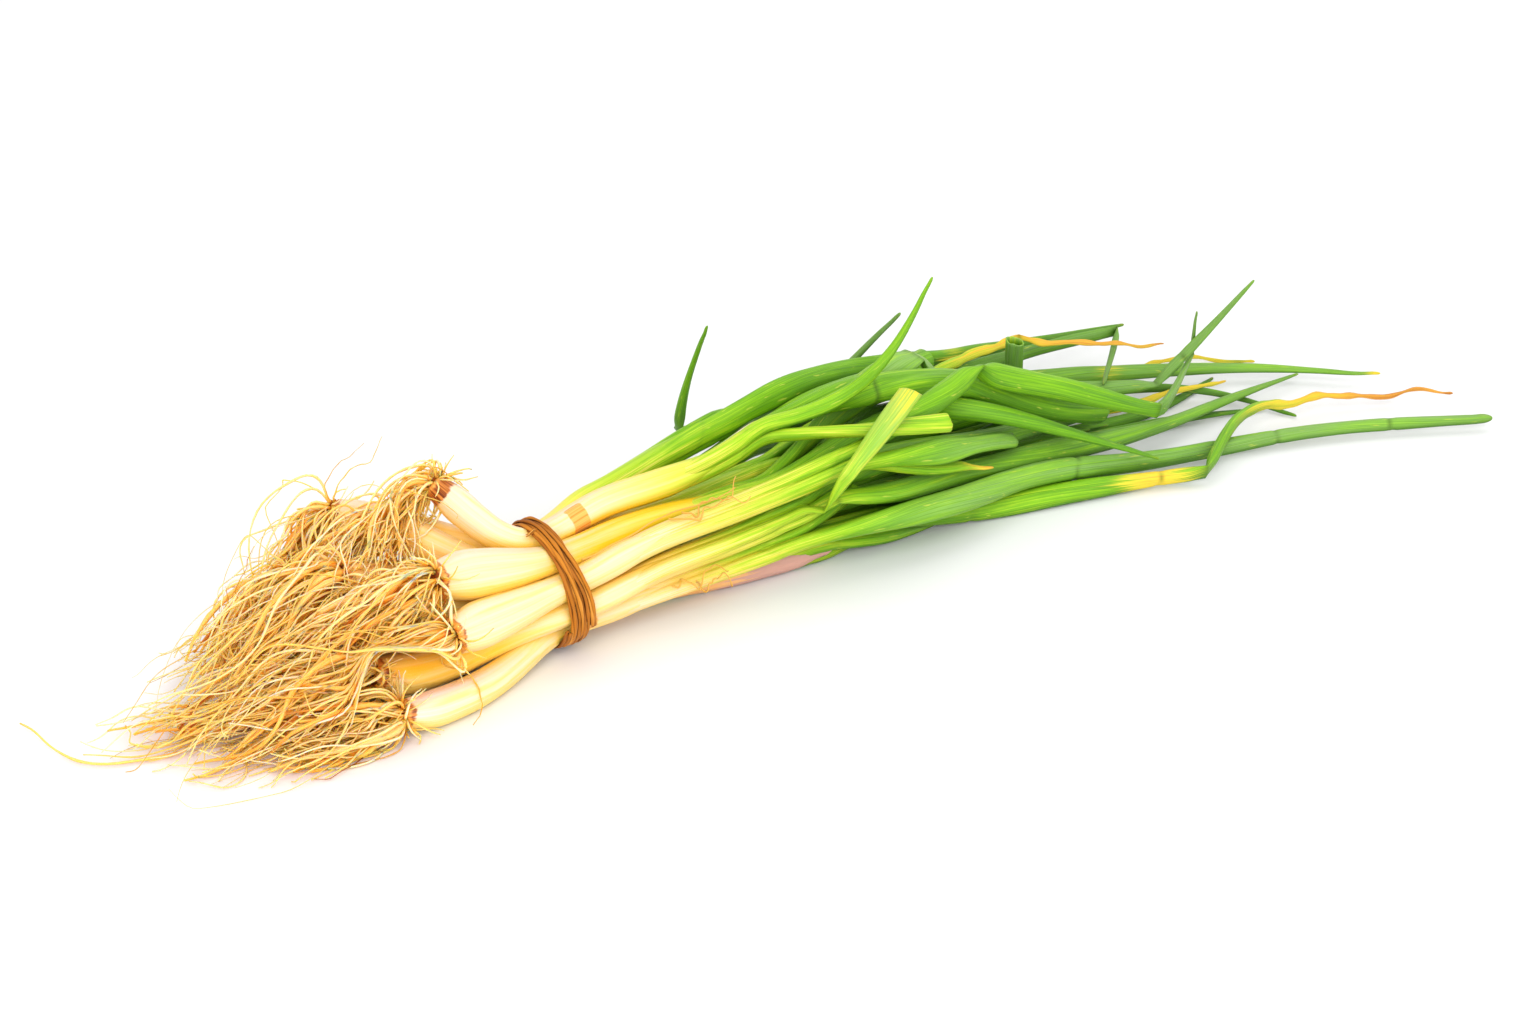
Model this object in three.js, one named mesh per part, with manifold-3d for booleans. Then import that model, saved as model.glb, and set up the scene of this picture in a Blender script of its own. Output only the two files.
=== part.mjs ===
// A bunch of twelve spring onions, tied round their stems and lying on a table.
//
// Each onion is a stem (its bulb and pale shank in one), the leaves that part from it at the fork, and a
// tuft of roots on its root plate. The stems pass through the tie in two rings. The bunch is laid out with
// the middle of the tie over the zero point, +X towards the leaf tips and +Z up. Strands that would run into
// each other are then eased apart, and the whole is moved so that the middle of its box's bottom is the zero
// point. All sizes are in millimetres.
import * as THREE from "three";
import { mergeVertices } from "three/addons/utils/BufferGeometryUtils.js";
import Module from "manifold-3d";

const wasm = await Module();
wasm.setup();

// ---- Driving dimensions ----
const NECK_RADIUS = 4.3; // an outer stem where the tie holds it
const INNER_NECK_RADIUS = 4;
const SHANK_RADIUS = 4.7; // a stem past the tie
const FORK_RADIUS = 4.5; // a stem where its leaves part
const BULB_LENGTH = 58; // the longest way from root plate to neck
const SHANK_START = 14; // from the neck's start to where a stem fills out again
const SHANK_SWELL = 24;
const FORK_START = 55; // from the neck's start to where a stem narrows towards its fork

const LEAF_BASE_RADIUS = 2;
const LEAF_SPREAD = 2.55; // a leaf's base off its stem's axis
const LEAF_START = 1.5; // past the end of the stem
const LEAF_SWELL = 34; // from the base to the full width
const LEAF_TIP_RADIUS = 0.7;
const LEAF_TAPER = 0.55; // share of the length that narrows to the tip

const PLATE_SHARE = 0.62; // the root plate's radius as a share of the bulb's
const PLATE_THICKNESS = 2.6;
const LOCKS = 4; // thick locks that stand for the fine roots of a tuft
const LOCK_RADIUS = 2;
const LOCK_TIP_RADIUS = 0.6;
const LOCK_START = 1.8; // off the root plate
const LOCK_SPREAD = 2.4; // off the stem's axis
const LOCK_LEAD = 13; // how far a lock heads on before it bends over
const TUFT_WIDTH = 19;

const RINGS = {
  outer: { radius: 13.5, neck: NECK_RADIUS },
  inner: { radius: 4.9, neck: INNER_NECK_RADIUS },
};
const TIE_TURNS = 4;
const TIE_STRAND_RADIUS = 1.15;
const TIE_PITCH = 2.45;
const TIE_START = 0.57; // where its ends lie, as a share of a turn: low on the near side
const TIE_YAW = THREE.MathUtils.degToRad(10); // the bunch turns a little where it is tied
const TIE_LEAN = THREE.MathUtils.degToRad(-7); // the top of the winding leans back
const TIE_SHIFT = -1.5;
const TIE_HOLD = 6.5; // a stem runs straight this far either side of where the tie crosses it

const GAP = 0.4; // between neighbours
const TIE_OUTER_RADIUS = RINGS.outer.radius + NECK_RADIUS + 1.3 * GAP + 2 * TIE_STRAND_RADIUS;
const TIE_HEIGHT = TIE_OUTER_RADIUS; // the tie rests on the table
const TABLE_SNAP = 0.12; // what comes this near the table lies flat on it

const STEM_STEP = 8;
const LEAF_STEP = 12;
const LOCK_STEP = 10;
const SIDES = { stem: 10, leaf: 6, lock: 4, tie: 6 };
const SETTLE_ROUNDS = 260;
const FINAL_ROUNDS = 100; // without evening out, to clear the last touches

// ---- The twelve onions ----
// place: the ring in the tie and the angle round it, 90 at the top and 180 on the near side.
// plate: the root plate. stem: points from the tie to the fork. roots: where the middle of the tuft ends.
// sag: a point that the bulb hangs down through before the tie. narrows: the share of the bulb where it
// starts to narrow, if not 0.2. farRoot: the points of a single root that lies by itself. Each leaf has its
// full width and its runs of points past the fork, with a fold between one run and the next. A leaf that ends
// in "cut" keeps its width to its end. Others narrow over taper, a share of their length, down to the radius
// at their tip.
const ONIONS = [
  {
    place: ["outer", 80],
    bulb: 5.2,
    plate: [-27, 22, 48],
    stem: [[20, 9, 37], [34, 9, 37], [48, 12, 37], [64, 17, 38], [80, 21, 42]],
    roots: [-60, -4, 26],
    leaves: [
      {
        width: 9,
        end: "cut",
        runs: [[[99, 27, 45], [125, 30, 43], [160, 36, 34], [185, 27, 26], [214, 38, 14]]],
      },
      { width: 4.6, runs: [[[97, 18, 45], [118, 17, 54], [132, 19, 69], [139, 19, 84]]] },
      { width: 6, end: "cut", runs: [[[94, 16, 41], [112, 6, 41], [137, 4, 39]]] },
    ],
  },
  {
    place: ["outer", 40],
    bulb: 5.8,
    plate: [-54, 44, 34],
    stem: [[20, 22, 28], [40, 28, 31], [60, 38, 32], [77, 46, 32]],
    roots: [-90, 14, 12],
    leaves: [
      { width: 7.5, runs: [[[107, 54, 36], [137, 64, 30], [166, 73, 23], [207, 88, 15], [268, 106, 6]]] },
      { width: 3.2, runs: [[[98, 64, 24], [126, 80, 20], [144, 84, 25], [149, 77, 38], [153, 66, 50]]] },
      { width: 3.8, runs: [[[88, 62, 24], [82, 66, 22]], [[70, 61, 26], [70, 52, 47], [73, 43, 69]]] },
    ],
  },
  {
    place: ["outer", 0],
    bulb: 6.4,
    plate: [-73, 26, 23],
    stem: [[42, 28, 28], [66, 37, 29], [82, 45, 30]],
    roots: [-106, 2, 8],
    leaves: [
      {
        width: 8,
        runs: [
          [[103, 52, 34], [125, 53, 36], [140, 56, 34], [173, 62, 22], [204, 64, 14], [248, 58, 11]],
          [[268, 57, 28], [283, 55, 44]],
        ],
      },
      {
        width: 7.5,
        taper: 0.3,
        tip: 2,
        runs: [
          [[110, 64, 26], [175, 72, 20], [220, 84, 16], [251, 84, 16]],
          [[243, 72, 16], [228, 54, 12]],
        ],
      },
      {
        width: 6.5,
        end: "cut",
        runs: [
          [[108, 66, 18], [150, 70, 16], [190, 70, 14]],
          [[197, 64, 22], [194, 58, 44]],
        ],
      },
    ],
  },
  {
    place: ["outer", 120],
    bulb: 7.6,
    narrows: 0.55,
    plate: [-39, -12, 34],
    stem: [[24, 3, 32], [39, 6, 32], [54, 9, 31], [77, 14, 30]],
    roots: [-92, -22, 8],
    leaves: [
      {
        width: 8,
        runs: [[[125, 30, 34], [152, 36, 33], [163, 24, 30], [178, 19, 24], [195, 20, 16], [218, 9, 8]]],
      },
      {
        width: 9.5,
        taper: 0.2,
        tip: 3,
        runs: [[[112, 32, 38], [136, 38, 45], [149, 43, 47]], [[157, 45, 38]]],
      },
      { width: 7, end: "cut", runs: [[[108, 46, 29], [137, 58, 33], [160, 70, 31]]] },
    ],
  },
  {
    place: ["outer", 160],
    bulb: 7.2,
    narrows: 0.5,
    plate: [-40, -23, 25],
    stem: [[34, -4, 28], [52, -2, 29], [78, 2, 31], [103, 6, 34]],
    roots: [-102, -16, 12],
    leaves: [
      {
        width: 8,
        runs: [
          [[124, 8, 42], [158, 25, 46]],
          [[170, 26, 38], [187, 27, 33], [206, 22, 26], [226, 21, 19]],
          [[248, 46, 12], [262, 58, 19]],
          [[262, 57, 35]],
        ],
      },
      { width: 7, runs: [[[125, 8, 25], [156, 11, 18]]] },
      { width: 9, end: "cut", runs: [[[134, 6, 32], [159, 18, 28], [174, 27, 22]]] },
    ],
  },
  {
    place: ["outer", 200],
    bulb: 6.8,
    plate: [-62, -18, 14],
    sag: [-45.5, -16, 9],
    stem: [[33, -5, 22], [50, -3, 23], [83, 2, 27]],
    roots: [-122, -24, 4],
    leaves: [
      {
        width: 8.5,
        runs: [[[116, 7, 21], [168, 21, 15], [193, 26, 12], [242, 36, 6], [271, 45, 5], [308, 54, 4]]],
      },
      { width: 7.5, end: "cut", runs: [[[89, -6, 33], [104, -2, 45], [124, 8, 57]]] },
      {
        width: 9,
        end: "cut",
        runs: [[[112, 10, 34], [139, 19, 26], [159, 25, 20], [192, 38, 12], [218, 50, 8]]],
      },
    ],
  },
  {
    place: ["outer", 240],
    bulb: 5.5,
    plate: [-59, -31, 9],
    sag: [-43, -29, 7.5],
    stem: [[33, -2, 12], [50, 1, 13], [83, 5, 16]],
    roots: [-108, -29, 3],
    leaves: [
      {
        width: 8,
        taper: 0.7,
        tip: 2.2,
        runs: [
          [[126, 3, 17], [150, 12, 13], [173, 22, 10], [197, 23, 7], [222, 22, 5]],
          [[271, 20, 5], [300, 15, 5], [346, 0, 5]],
        ],
      },
      { width: 6, end: "cut", runs: [[[96, 6, 22], [108, 12, 26]]] },
      { width: 6.5, runs: [[[127, 10, 12], [169, 22, 6], [191, 20, 4]]] },
    ],
  },
  {
    place: ["outer", 280],
    bulb: 6,
    plate: [-66, -6, 7],
    stem: [[36, 8, 5], [64, 9, 5], [96, 11, 5]],
    roots: [-128, -14, 3],
    farRoot: [[-96, -14, 2], [-128, -17, 2], [-146, -11, 2], [-154, 8, 1.5], [-159, 19, 1.2]],
    leaves: [
      { width: 7, runs: [[[116, 13, 6], [140, 18, 5]]] },
      { width: 8, runs: [[[120, 19, 5], [150, 24, 4], [176, 22, 4]]] },
    ],
  },
  {
    place: ["outer", 320],
    bulb: 6.2,
    plate: [-68, 34, 8],
    stem: [[24, 18, 13], [50, 26, 12], [88, 36, 12]],
    roots: [-100, 10, 3],
    leaves: [
      {
        width: 8,
        runs: [[[120, 52, 24], [154, 66, 20], [216, 78, 10], [260, 74, 6], [295, 66, 4], [334, 41, 4]]],
      },
      { width: 7, runs: [[[150, 52, 12], [204, 62, 10], [249, 60, 8], [282, 62, 7]]] },
      { width: 5, runs: [[[150, 42, 8], [229, 64, 8], [276, 56, 5], [292, 32, 3]]] },
    ],
  },
  {
    place: ["inner", 60],
    bulb: 5.6,
    plate: [-38, 27, 39],
    stem: [[24, 12, 27], [50, 20, 26], [85, 30, 26]],
    roots: [-74, 6, 16],
    leaves: [
      { width: 4, runs: [[[120, 44, 30], [178, 72, 27], [207, 80, 24], [221, 70, 22], [258, 74, 12]]] },
      { width: 8, runs: [[[132, 40, 24], [184, 50, 22], [216, 53, 14], [243, 62, 8]]] },
      { width: 8, runs: [[[131, 32, 16], [178, 41, 11], [225, 44, 6]]] },
    ],
  },
  {
    place: ["inner", 180],
    bulb: 6.2,
    plate: [-50, 2, 27],
    stem: [[24, 2, 17], [50, 7, 12], [80, 9, 12]],
    roots: [-108, -10, 9],
    leaves: [
      {
        width: 7.5,
        taper: 0.62,
        runs: [
          [[103, 8, 12], [123, 10, 10], [166, 13, 6], [191, 12, 5], [221, 9, 4], [238, 5, 4]],
          [[256, 20, 10], [271, 32, 9]],
          [[295, 34, 6], [331, 28, 4], [351, 22, 3]],
        ],
      },
      { width: 7.5, runs: [[[124, 12, 16], [156, 20, 13]]] },
      { width: 7, runs: [[[112, 18, 17], [170, 34, 12], [215, 46, 6]]] },
    ],
  },
  {
    place: ["inner", 300],
    bulb: 6,
    plate: [-60, 14, 26],
    stem: [[24, 9, 13], [50, 18, 8], [88, 25, 6]],
    roots: [-120, -6, 5],
    leaves: [
      { width: 7, runs: [[[140, 36, 6], [209, 50, 5], [248, 54, 5], [283, 70, 5]]] },
      { width: 3.5, runs: [[[150, 60, 6], [215, 72, 6], [266, 90, 5], [284, 90, 4], [304, 78, 3]]] },
      { width: 7, runs: [[[140, 28, 6], [200, 42, 5], [256, 47, 4], [285, 43, 3]]] },
    ],
  },
];

// ---- Paths ----
const UP = new THREE.Vector3(0, 0, 1);
const vector = (xyz) => new THREE.Vector3(...xyz);
const mix = THREE.MathUtils.lerp;
const ease = (from, to, x) => THREE.MathUtils.smoothstep(x, from, to);

// Points about one step apart along a smooth curve through each run, with a corner where two runs meet.
function walk(runs, step) {
  const points = [runs[0][0].clone()];
  for (const run of runs) {
    const through = run === runs[0] ? run : [points.at(-1), ...run];
    const curve = new THREE.CatmullRomCurve3(through, false, "centripetal");
    const pieces = Math.max(1, Math.round(curve.getLength() / step));
    points.push(...curve.getSpacedPoints(pieces).slice(1));
  }
  return points;
}

// How far along the strand each point is.
function stations(points) {
  const along = [0];
  for (let i = 1; i < points.length; i++) along.push(along[i - 1] + points[i].distanceTo(points[i - 1]));
  return along;
}

// The strand's direction at each point.
function headings(points) {
  return points.map((_, i) => {
    const before = points[Math.max(0, i - 1)];
    const after = points[Math.min(points.length - 1, i + 1)];
    return after.clone().sub(before).normalize();
  });
}

// Two directions across a strand: one level, one upright.
function crosswise(heading) {
  const side = new THREE.Vector3().crossVectors(heading, UP).normalize();
  return [side, new THREE.Vector3().crossVectors(side, heading)];
}

// ---- Strands: points with a radius at each, and what holds them ----
const TIE_AXIS = new THREE.Vector3(Math.cos(TIE_YAW), Math.sin(TIE_YAW), 0);
const TIE_SIDE = new THREE.Vector3(-Math.sin(TIE_YAW), Math.cos(TIE_YAW), 0);

// A point in the tie, by its distance along the bunch's axis, its radius from it and the angle round it.
function roundTie(along, radius, angle) {
  return new THREE.Vector3(0, 0, TIE_HEIGHT)
    .addScaledVector(TIE_AXIS, along)
    .addScaledVector(TIE_SIDE, radius * Math.cos(angle))
    .addScaledVector(UP, radius * Math.sin(angle));
}

// Where the tie crosses the bunch at this angle round it, by the distance along the bunch's axis.
const tieCrossing = (angle) => TIE_SHIFT + Math.tan(TIE_LEAN) * TIE_OUTER_RADIUS * Math.sin(angle);

// A stem swells from its root plate to its bulb, narrows to the neck that the tie holds, and fills out again.
function stemStrand(onion, number) {
  const ring = RINGS[onion.place[0]];
  const angle = THREE.MathUtils.degToRad(onion.place[1]);
  const crossing = tieCrossing(angle);
  const held = [-1, -1 / 3, 1 / 3, 1].map((share) => {
    return roundTie(crossing + share * TIE_HOLD, ring.radius, angle);
  });
  const bulb = [onion.plate, onion.sag].filter(Boolean).map(vector);
  const home = walk([[...bulb, ...held, ...onion.stem.map(vector)]], STEM_STEP);
  const along = stations(home);
  const tied = home[0].distanceTo(held[0]);
  const bulbEnd = Math.min(BULB_LENGTH, tied);
  const radius = along.map((s) => {
    const shoulder = onion.bulb * mix(0.8, 1, ease(0, 9, s));
    const neck = mix(shoulder, ring.neck, ease((onion.narrows ?? 0.2) * bulbEnd, bulbEnd, s));
    const shank = mix(neck, SHANK_RADIUS, ease(tied + SHANK_START, tied + SHANK_START + SHANK_SWELL, s));
    return mix(shank, FORK_RADIUS, ease(tied + FORK_START, along.at(-1), s));
  });
  const pinned = home.map((p) => Math.abs(p.dot(TIE_AXIS) - crossing) < TIE_HOLD + 1);
  return { name: `onion_${number}_stem`, onion: number, kind: "stem", home, radius, pinned };
}

// Spaces the leaves of a fork evenly round its axis, in the order of the ways they head off.
function forkTurns(leaves, stem) {
  const fork = stem.home.at(-1);
  const [side, top] = crosswise(headings(stem.home).at(-1));
  const ways = leaves.map((leaf) => {
    const off = vector(leaf.runs[0][0]).sub(fork);
    return Math.atan2(off.dot(top), off.dot(side));
  });
  const order = ways.map((_, i) => i).sort((i, j) => ways[i] - ways[j]);
  const spacing = (2 * Math.PI) / leaves.length;
  const first = order.reduce((sum, i, rank) => sum + ways[i] - rank * spacing, 0) / leaves.length;
  return ways.map((_, i) => first + order.indexOf(i) * spacing);
}

// A leaf starts beside its neighbours at the fork, swells to its full width, and narrows towards its tip.
function leafStrand(leaf, index, stem, turn) {
  const heading = headings(stem.home).at(-1);
  const [side, top] = crosswise(heading);
  const offset = heading
    .clone()
    .multiplyScalar(LEAF_START)
    .addScaledVector(side, LEAF_SPREAD * Math.cos(turn))
    .addScaledVector(top, LEAF_SPREAD * Math.sin(turn));
  const base = stem.home.at(-1).clone().add(offset);
  const lead = base.clone().addScaledVector(heading, LEAF_STEP / 2);
  const [first, ...rest] = leaf.runs.map((run) => run.map(vector));
  const home = walk([[base, lead, ...first], ...rest], LEAF_STEP);
  const along = stations(home);
  const length = along.at(-1);
  const tapers = length * (1 - (leaf.taper ?? LEAF_TAPER));
  const radius = along.map((s) => {
    const grown = mix(LEAF_BASE_RADIUS, leaf.width / 2, ease(0, LEAF_SWELL, s));
    const narrowed = (Math.max(0, s - tapers) / (length - tapers)) ** 1.4;
    return leaf.end === "cut" ? grown : mix(grown, leaf.tip ?? LEAF_TIP_RADIUS, narrowed);
  });
  const name = `onion_${stem.onion}_leaf_${"abc"[index]}`;
  const pinned = home.map(() => false);
  const grownFrom = { stem, end: -1, offset };
  return { name, onion: stem.onion, kind: "leaf", home, radius, pinned, grownFrom };
}

// A lock springs from the root plate, away from the bulb, and bends over towards its end, or runs through
// its points where it has more than one.
function lockStrand(stem, through, turn) {
  const plate = stem.home[0];
  const outward = headings(stem.home)[0].negate();
  const [side, top] = crosswise(outward);
  const fan = side.clone().multiplyScalar(Math.cos(turn)).addScaledVector(top, Math.sin(turn));
  const offset = outward.clone().multiplyScalar(LOCK_START).addScaledVector(fan, LOCK_SPREAD);
  const base = plate.clone().add(offset);
  const lead = base.clone().addScaledVector(outward, LOCK_LEAD).addScaledVector(fan, LOCK_LEAD / 2);
  const end = through.at(-1);
  const bend = end.clone().lerp(lead, 0.35);
  bend.z = mix(end.z, lead.z, 0.2);
  const bow = new THREE.CubicBezierCurve3(base, lead, bend, end);
  const home =
    through.length > 1
      ? walk([[base, lead, ...through]], LOCK_STEP)
      : bow.getSpacedPoints(Math.round(bow.getLength() / LOCK_STEP));
  const radius = home.map((_, i) => mix(LOCK_RADIUS, LOCK_TIP_RADIUS, i / (home.length - 1)));
  const pinned = home.map(() => false);
  const grownFrom = { stem, end: 0, offset };
  return { onion: stem.onion, kind: "lock", home, radius, pinned, grownFrom };
}

// The locks of a tuft end side by side, every second one nearer the bulb.
function tuftStrands(onion, stem) {
  const reach = vector(onion.roots).sub(stem.home[0]);
  const sideways = new THREE.Vector3(-reach.y, reach.x, 0).normalize();
  const locks = [];
  for (let i = 0; i < LOCKS; i++) {
    const end = vector(onion.roots)
      .addScaledVector(sideways, (i / (LOCKS - 1) - 0.5) * TUFT_WIDTH)
      .addScaledVector(reach, i % 2 ? -0.22 : 0);
    end.z = Math.max(end.z, 1);
    locks.push(lockStrand(stem, [end], ((2 * i - 0.5) * Math.PI) / LOCKS));
  }
  if (onion.farRoot) locks.push(lockStrand(stem, onion.farRoot.map(vector), Math.PI));
  return locks;
}

// ---- Easing strands apart ----
// Where two segments come nearest, as a share of each one's length.
function nearest(p1, q1, p2, q2) {
  const d1 = q1.clone().sub(p1);
  const d2 = q2.clone().sub(p2);
  const r = p1.clone().sub(p2);
  const a = d1.lengthSq();
  const b = d1.dot(d2);
  const c = d1.dot(r);
  const e = d2.lengthSq();
  const f = d2.dot(r);
  const clamp = (x) => THREE.MathUtils.clamp(x, 0, 1);
  const skew = a * e - b * b;
  const s = skew > 1e-9 ? clamp((b * f - c * e) / skew) : 0.5;
  const t = (b * s + f) / e;
  if (t >= 0 && t <= 1) return [s, t];
  return [clamp((b * clamp(t) - c) / a), clamp(t)];
}

function push(strand, i, share, by) {
  if (!strand.pinned[i]) strand.at[i].addScaledVector(by, 1 - share);
  if (!strand.pinned[i + 1]) strand.at[i + 1].addScaledVector(by, share);
}

// Moves two strands apart wherever their surfaces come nearer than the gap. Where one has grown from the end
// of the other, the stretches next to that end are left alone.
function separate(one, two) {
  const grown = two.grownFrom?.stem === one;
  const first = grown && two.grownFrom.end === 0 ? 2 : 0;
  const last = one.at.length - (grown && two.grownFrom.end === -1 ? 3 : 1);
  for (let i = first; i < last; i++) {
    for (let j = grown ? 1 : 0; j < two.at.length - 1; j++) {
      const reach = one.radius[i] + two.radius[j] + 2 * LEAF_STEP;
      if (one.at[i].distanceToSquared(two.at[j]) > reach * reach) continue;
      const [s, t] = nearest(one.at[i], one.at[i + 1], two.at[j], two.at[j + 1]);
      const here = one.at[i].clone().lerp(one.at[i + 1], s);
      const away = here.sub(two.at[j].clone().lerp(two.at[j + 1], t));
      const thick = mix(one.radius[i], one.radius[i + 1], s) + mix(two.radius[j], two.radius[j + 1], t);
      const lacking = thick + GAP - away.length();
      if (lacking <= 0) continue;
      if (away.length() < 1e-3) away.copy(UP);
      away.setLength(lacking / 2);
      push(one, i, s, away);
      push(two, j, t, away.negate());
    }
  }
}

// Shares each point's shift with its neighbours, so that a strand bends instead of kinking.
function evenOut(strand) {
  const shifts = strand.at.map((p, i) => p.clone().sub(strand.home[i]));
  strand.at.forEach((p, i) => {
    if (strand.pinned[i]) return;
    const before = shifts[Math.max(0, i - 1)];
    const after = shifts[Math.min(shifts.length - 1, i + 1)];
    const even = before.clone().lerp(after, 0.5);
    p.copy(strand.home[i]).addScaledVector(shifts[i].clone().add(even), 0.5);
  });
}

// Keeps a strand's flat underside on or above the table.
function holdUp(strand) {
  const underside = Math.cos(Math.PI / SIDES[strand.kind]);
  strand.at.forEach((p, i) => {
    if (!strand.pinned[i]) p.z = Math.max(p.z, strand.radius[i] * underside);
  });
}

// Keeps the base of a leaf or a lock on the stem that it grows from.
function followStem(strand) {
  if (!strand.grownFrom) return;
  const { stem, end, offset } = strand.grownFrom;
  const base = stem.at.at(end).clone().add(offset);
  strand.at[1].addScaledVector(base.clone().sub(strand.at[0]), 0.5);
  strand.at[0].copy(base);
}

function settle(strands) {
  for (const strand of strands) strand.at = strand.home.map((p) => p.clone());
  const sameTuft = (one, two) => one.kind === "lock" && two.kind === "lock" && one.onion === two.onion;
  for (let round = 0; round < SETTLE_ROUNDS + FINAL_ROUNDS; round++) {
    const boxes = strands.map((strand) => {
      return new THREE.Box3().setFromPoints(strand.at).expandByScalar(Math.max(...strand.radius) + GAP);
    });
    strands.forEach((one, i) => {
      strands.slice(i + 1).forEach((two, k) => {
        if (!sameTuft(one, two) && boxes[i].intersectsBox(boxes[i + 1 + k])) separate(one, two);
      });
    });
    for (const strand of strands) {
      if (round < SETTLE_ROUNDS) evenOut(strand);
      holdUp(strand);
      followStem(strand);
    }
  }
}

// ---- Solids ----
// Turns a closed body with one ring for each point and a pole at each end, and bends it along the points. A
// flat side faces down.
function bent(points, radius, sides) {
  const along = stations(points);
  const last = points.length - 1;
  const profile = points.map((_, i) => new THREE.Vector2(radius[i], along[i]));
  profile.unshift(new THREE.Vector2(0, -0.02));
  profile.push(new THREE.Vector2(0, along[last] + 0.02));
  const body = new THREE.LatheGeometry(profile, sides, sides % 2 ? 0 : Math.PI / sides);
  const heading = headings(points);
  const tops = [];
  for (let i = 0; i <= last; i++) {
    const upright = UP.clone().addScaledVector(heading[i], -UP.dot(heading[i]));
    const steep = upright.length() < 0.35 && i > 0;
    tops.push((steep ? tops[i - 1].clone().projectOnPlane(heading[i]) : upright).normalize());
  }
  const position = body.getAttribute("position");
  for (let v = 0; v < position.count; v++) {
    const i = THREE.MathUtils.clamp((v % profile.length) - 1, 0, last);
    const side = new THREE.Vector3().crossVectors(heading[i], tops[i]);
    const p = points[i]
      .clone()
      .addScaledVector(side, position.getX(v))
      .addScaledVector(tops[i], position.getZ(v))
      .addScaledVector(heading[i], position.getY(v) - along[i]);
    position.setXYZ(v, p.x, p.y, p.z < TABLE_SNAP ? 0 : p.z);
  }
  body.deleteAttribute("normal");
  body.deleteAttribute("uv");
  return mergeVertices(body, 1e-4);
}

function solidOf(geometry) {
  const mesh = new wasm.Mesh({
    numProp: 3,
    vertProperties: new Float32Array(geometry.getAttribute("position").array),
    triVerts: new Uint32Array(geometry.index.array),
  });
  return new wasm.Manifold(mesh);
}

function geometryOf(solid) {
  const mesh = solid.getMesh();
  const geometry = new THREE.BufferGeometry();
  geometry.setAttribute("position", new THREE.BufferAttribute(new Float32Array(mesh.vertProperties), 3));
  geometry.setIndex(new THREE.BufferAttribute(new Uint32Array(mesh.triVerts), 1));
  return geometry;
}

// The root plate, a low dome on the end of the bulb, with the locks grown into it.
function tuftGeometry(stem, locks, bulb) {
  const outward = headings(stem.at)[0].negate();
  const plateRadius = PLATE_SHARE * bulb;
  const layers = [GAP, PLATE_THICKNESS / 2, PLATE_THICKNESS];
  const points = layers.map((height) => stem.at[0].clone().addScaledVector(outward, height));
  let solid = solidOf(bent(points, [0.9 * plateRadius, plateRadius, 0.7 * plateRadius], SIDES.stem));
  for (const lock of locks) solid = solid.add(solidOf(bent(lock.at, lock.radius, SIDES.lock)));
  return geometryOf(solid);
}

// The tie: one strand wound round the stems, its turns side by side.
function tieGeometry() {
  const stepsPerTurn = 24;
  const ring = TIE_OUTER_RADIUS - TIE_STRAND_RADIUS;
  const points = [];
  for (let i = 0; i <= TIE_TURNS * stepsPerTurn; i++) {
    const turn = i / stepsPerTurn;
    const angle = (turn + TIE_START) * 2 * Math.PI;
    points.push(roundTie((turn - TIE_TURNS / 2) * TIE_PITCH + tieCrossing(angle), ring, angle));
  }
  return bent(points, points.map(() => TIE_STRAND_RADIUS), SIDES.tie);
}

// ---- Materials ----
const LOOKS = {
  stem: { color: 0xf3edc4, roughness: 0.35 },
  leaf: { color: 0x5f9e2f, roughness: 0.4 },
  roots: { color: 0xd9a560, roughness: 0.8 },
  tie: { color: 0x8a4a1c, roughness: 0.75 },
};

function piece(name, geometry, look) {
  const mesh = new THREE.Mesh(geometry, new THREE.MeshStandardMaterial({ ...LOOKS[look], metalness: 0 }));
  mesh.name = name;
  return mesh;
}

// ---- The bunch ----
const stems = ONIONS.map((onion, i) => stemStrand(onion, String(i + 1).padStart(2, "0")));
const leaves = ONIONS.flatMap((onion, i) => {
  const turns = forkTurns(onion.leaves, stems[i]);
  return onion.leaves.map((leaf, index) => leafStrand(leaf, index, stems[i], turns[index]));
});
const tufts = ONIONS.map((onion, i) => tuftStrands(onion, stems[i]));
settle([...stems, ...leaves, ...tufts.flat()]);

const bunch = new THREE.Group();
for (const stem of stems) bunch.add(piece(stem.name, bent(stem.at, stem.radius, SIDES.stem), "stem"));
for (const leaf of leaves) bunch.add(piece(leaf.name, bent(leaf.at, leaf.radius, SIDES.leaf), "leaf"));
stems.forEach((stem, i) => {
  bunch.add(piece(`onion_${stem.onion}_roots`, tuftGeometry(stem, tufts[i], ONIONS[i].bulb), "roots"));
});
bunch.add(piece("tie", tieGeometry(), "tie"));

const box = new THREE.Box3().setFromObject(bunch);
const middle = box.getCenter(new THREE.Vector3());
bunch.position.set(-middle.x, -middle.y, -box.min.z);

const root = new THREE.Group();
root.add(bunch);

export default root;
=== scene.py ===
"""The looks of a bunch of twelve spring onions, built over its CAD solids.

Each CAD strand gives its middle line and its thickness. Stems, leaves, fine roots and the fibres of the tie
are built along those lines. Lengths here are in millimetres and become metres when a mesh is made.
"""

import math
from collections import namedtuple

import bpy
import numpy as np
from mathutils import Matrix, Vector
from mathutils.bvhtree import BVHTree


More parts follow.
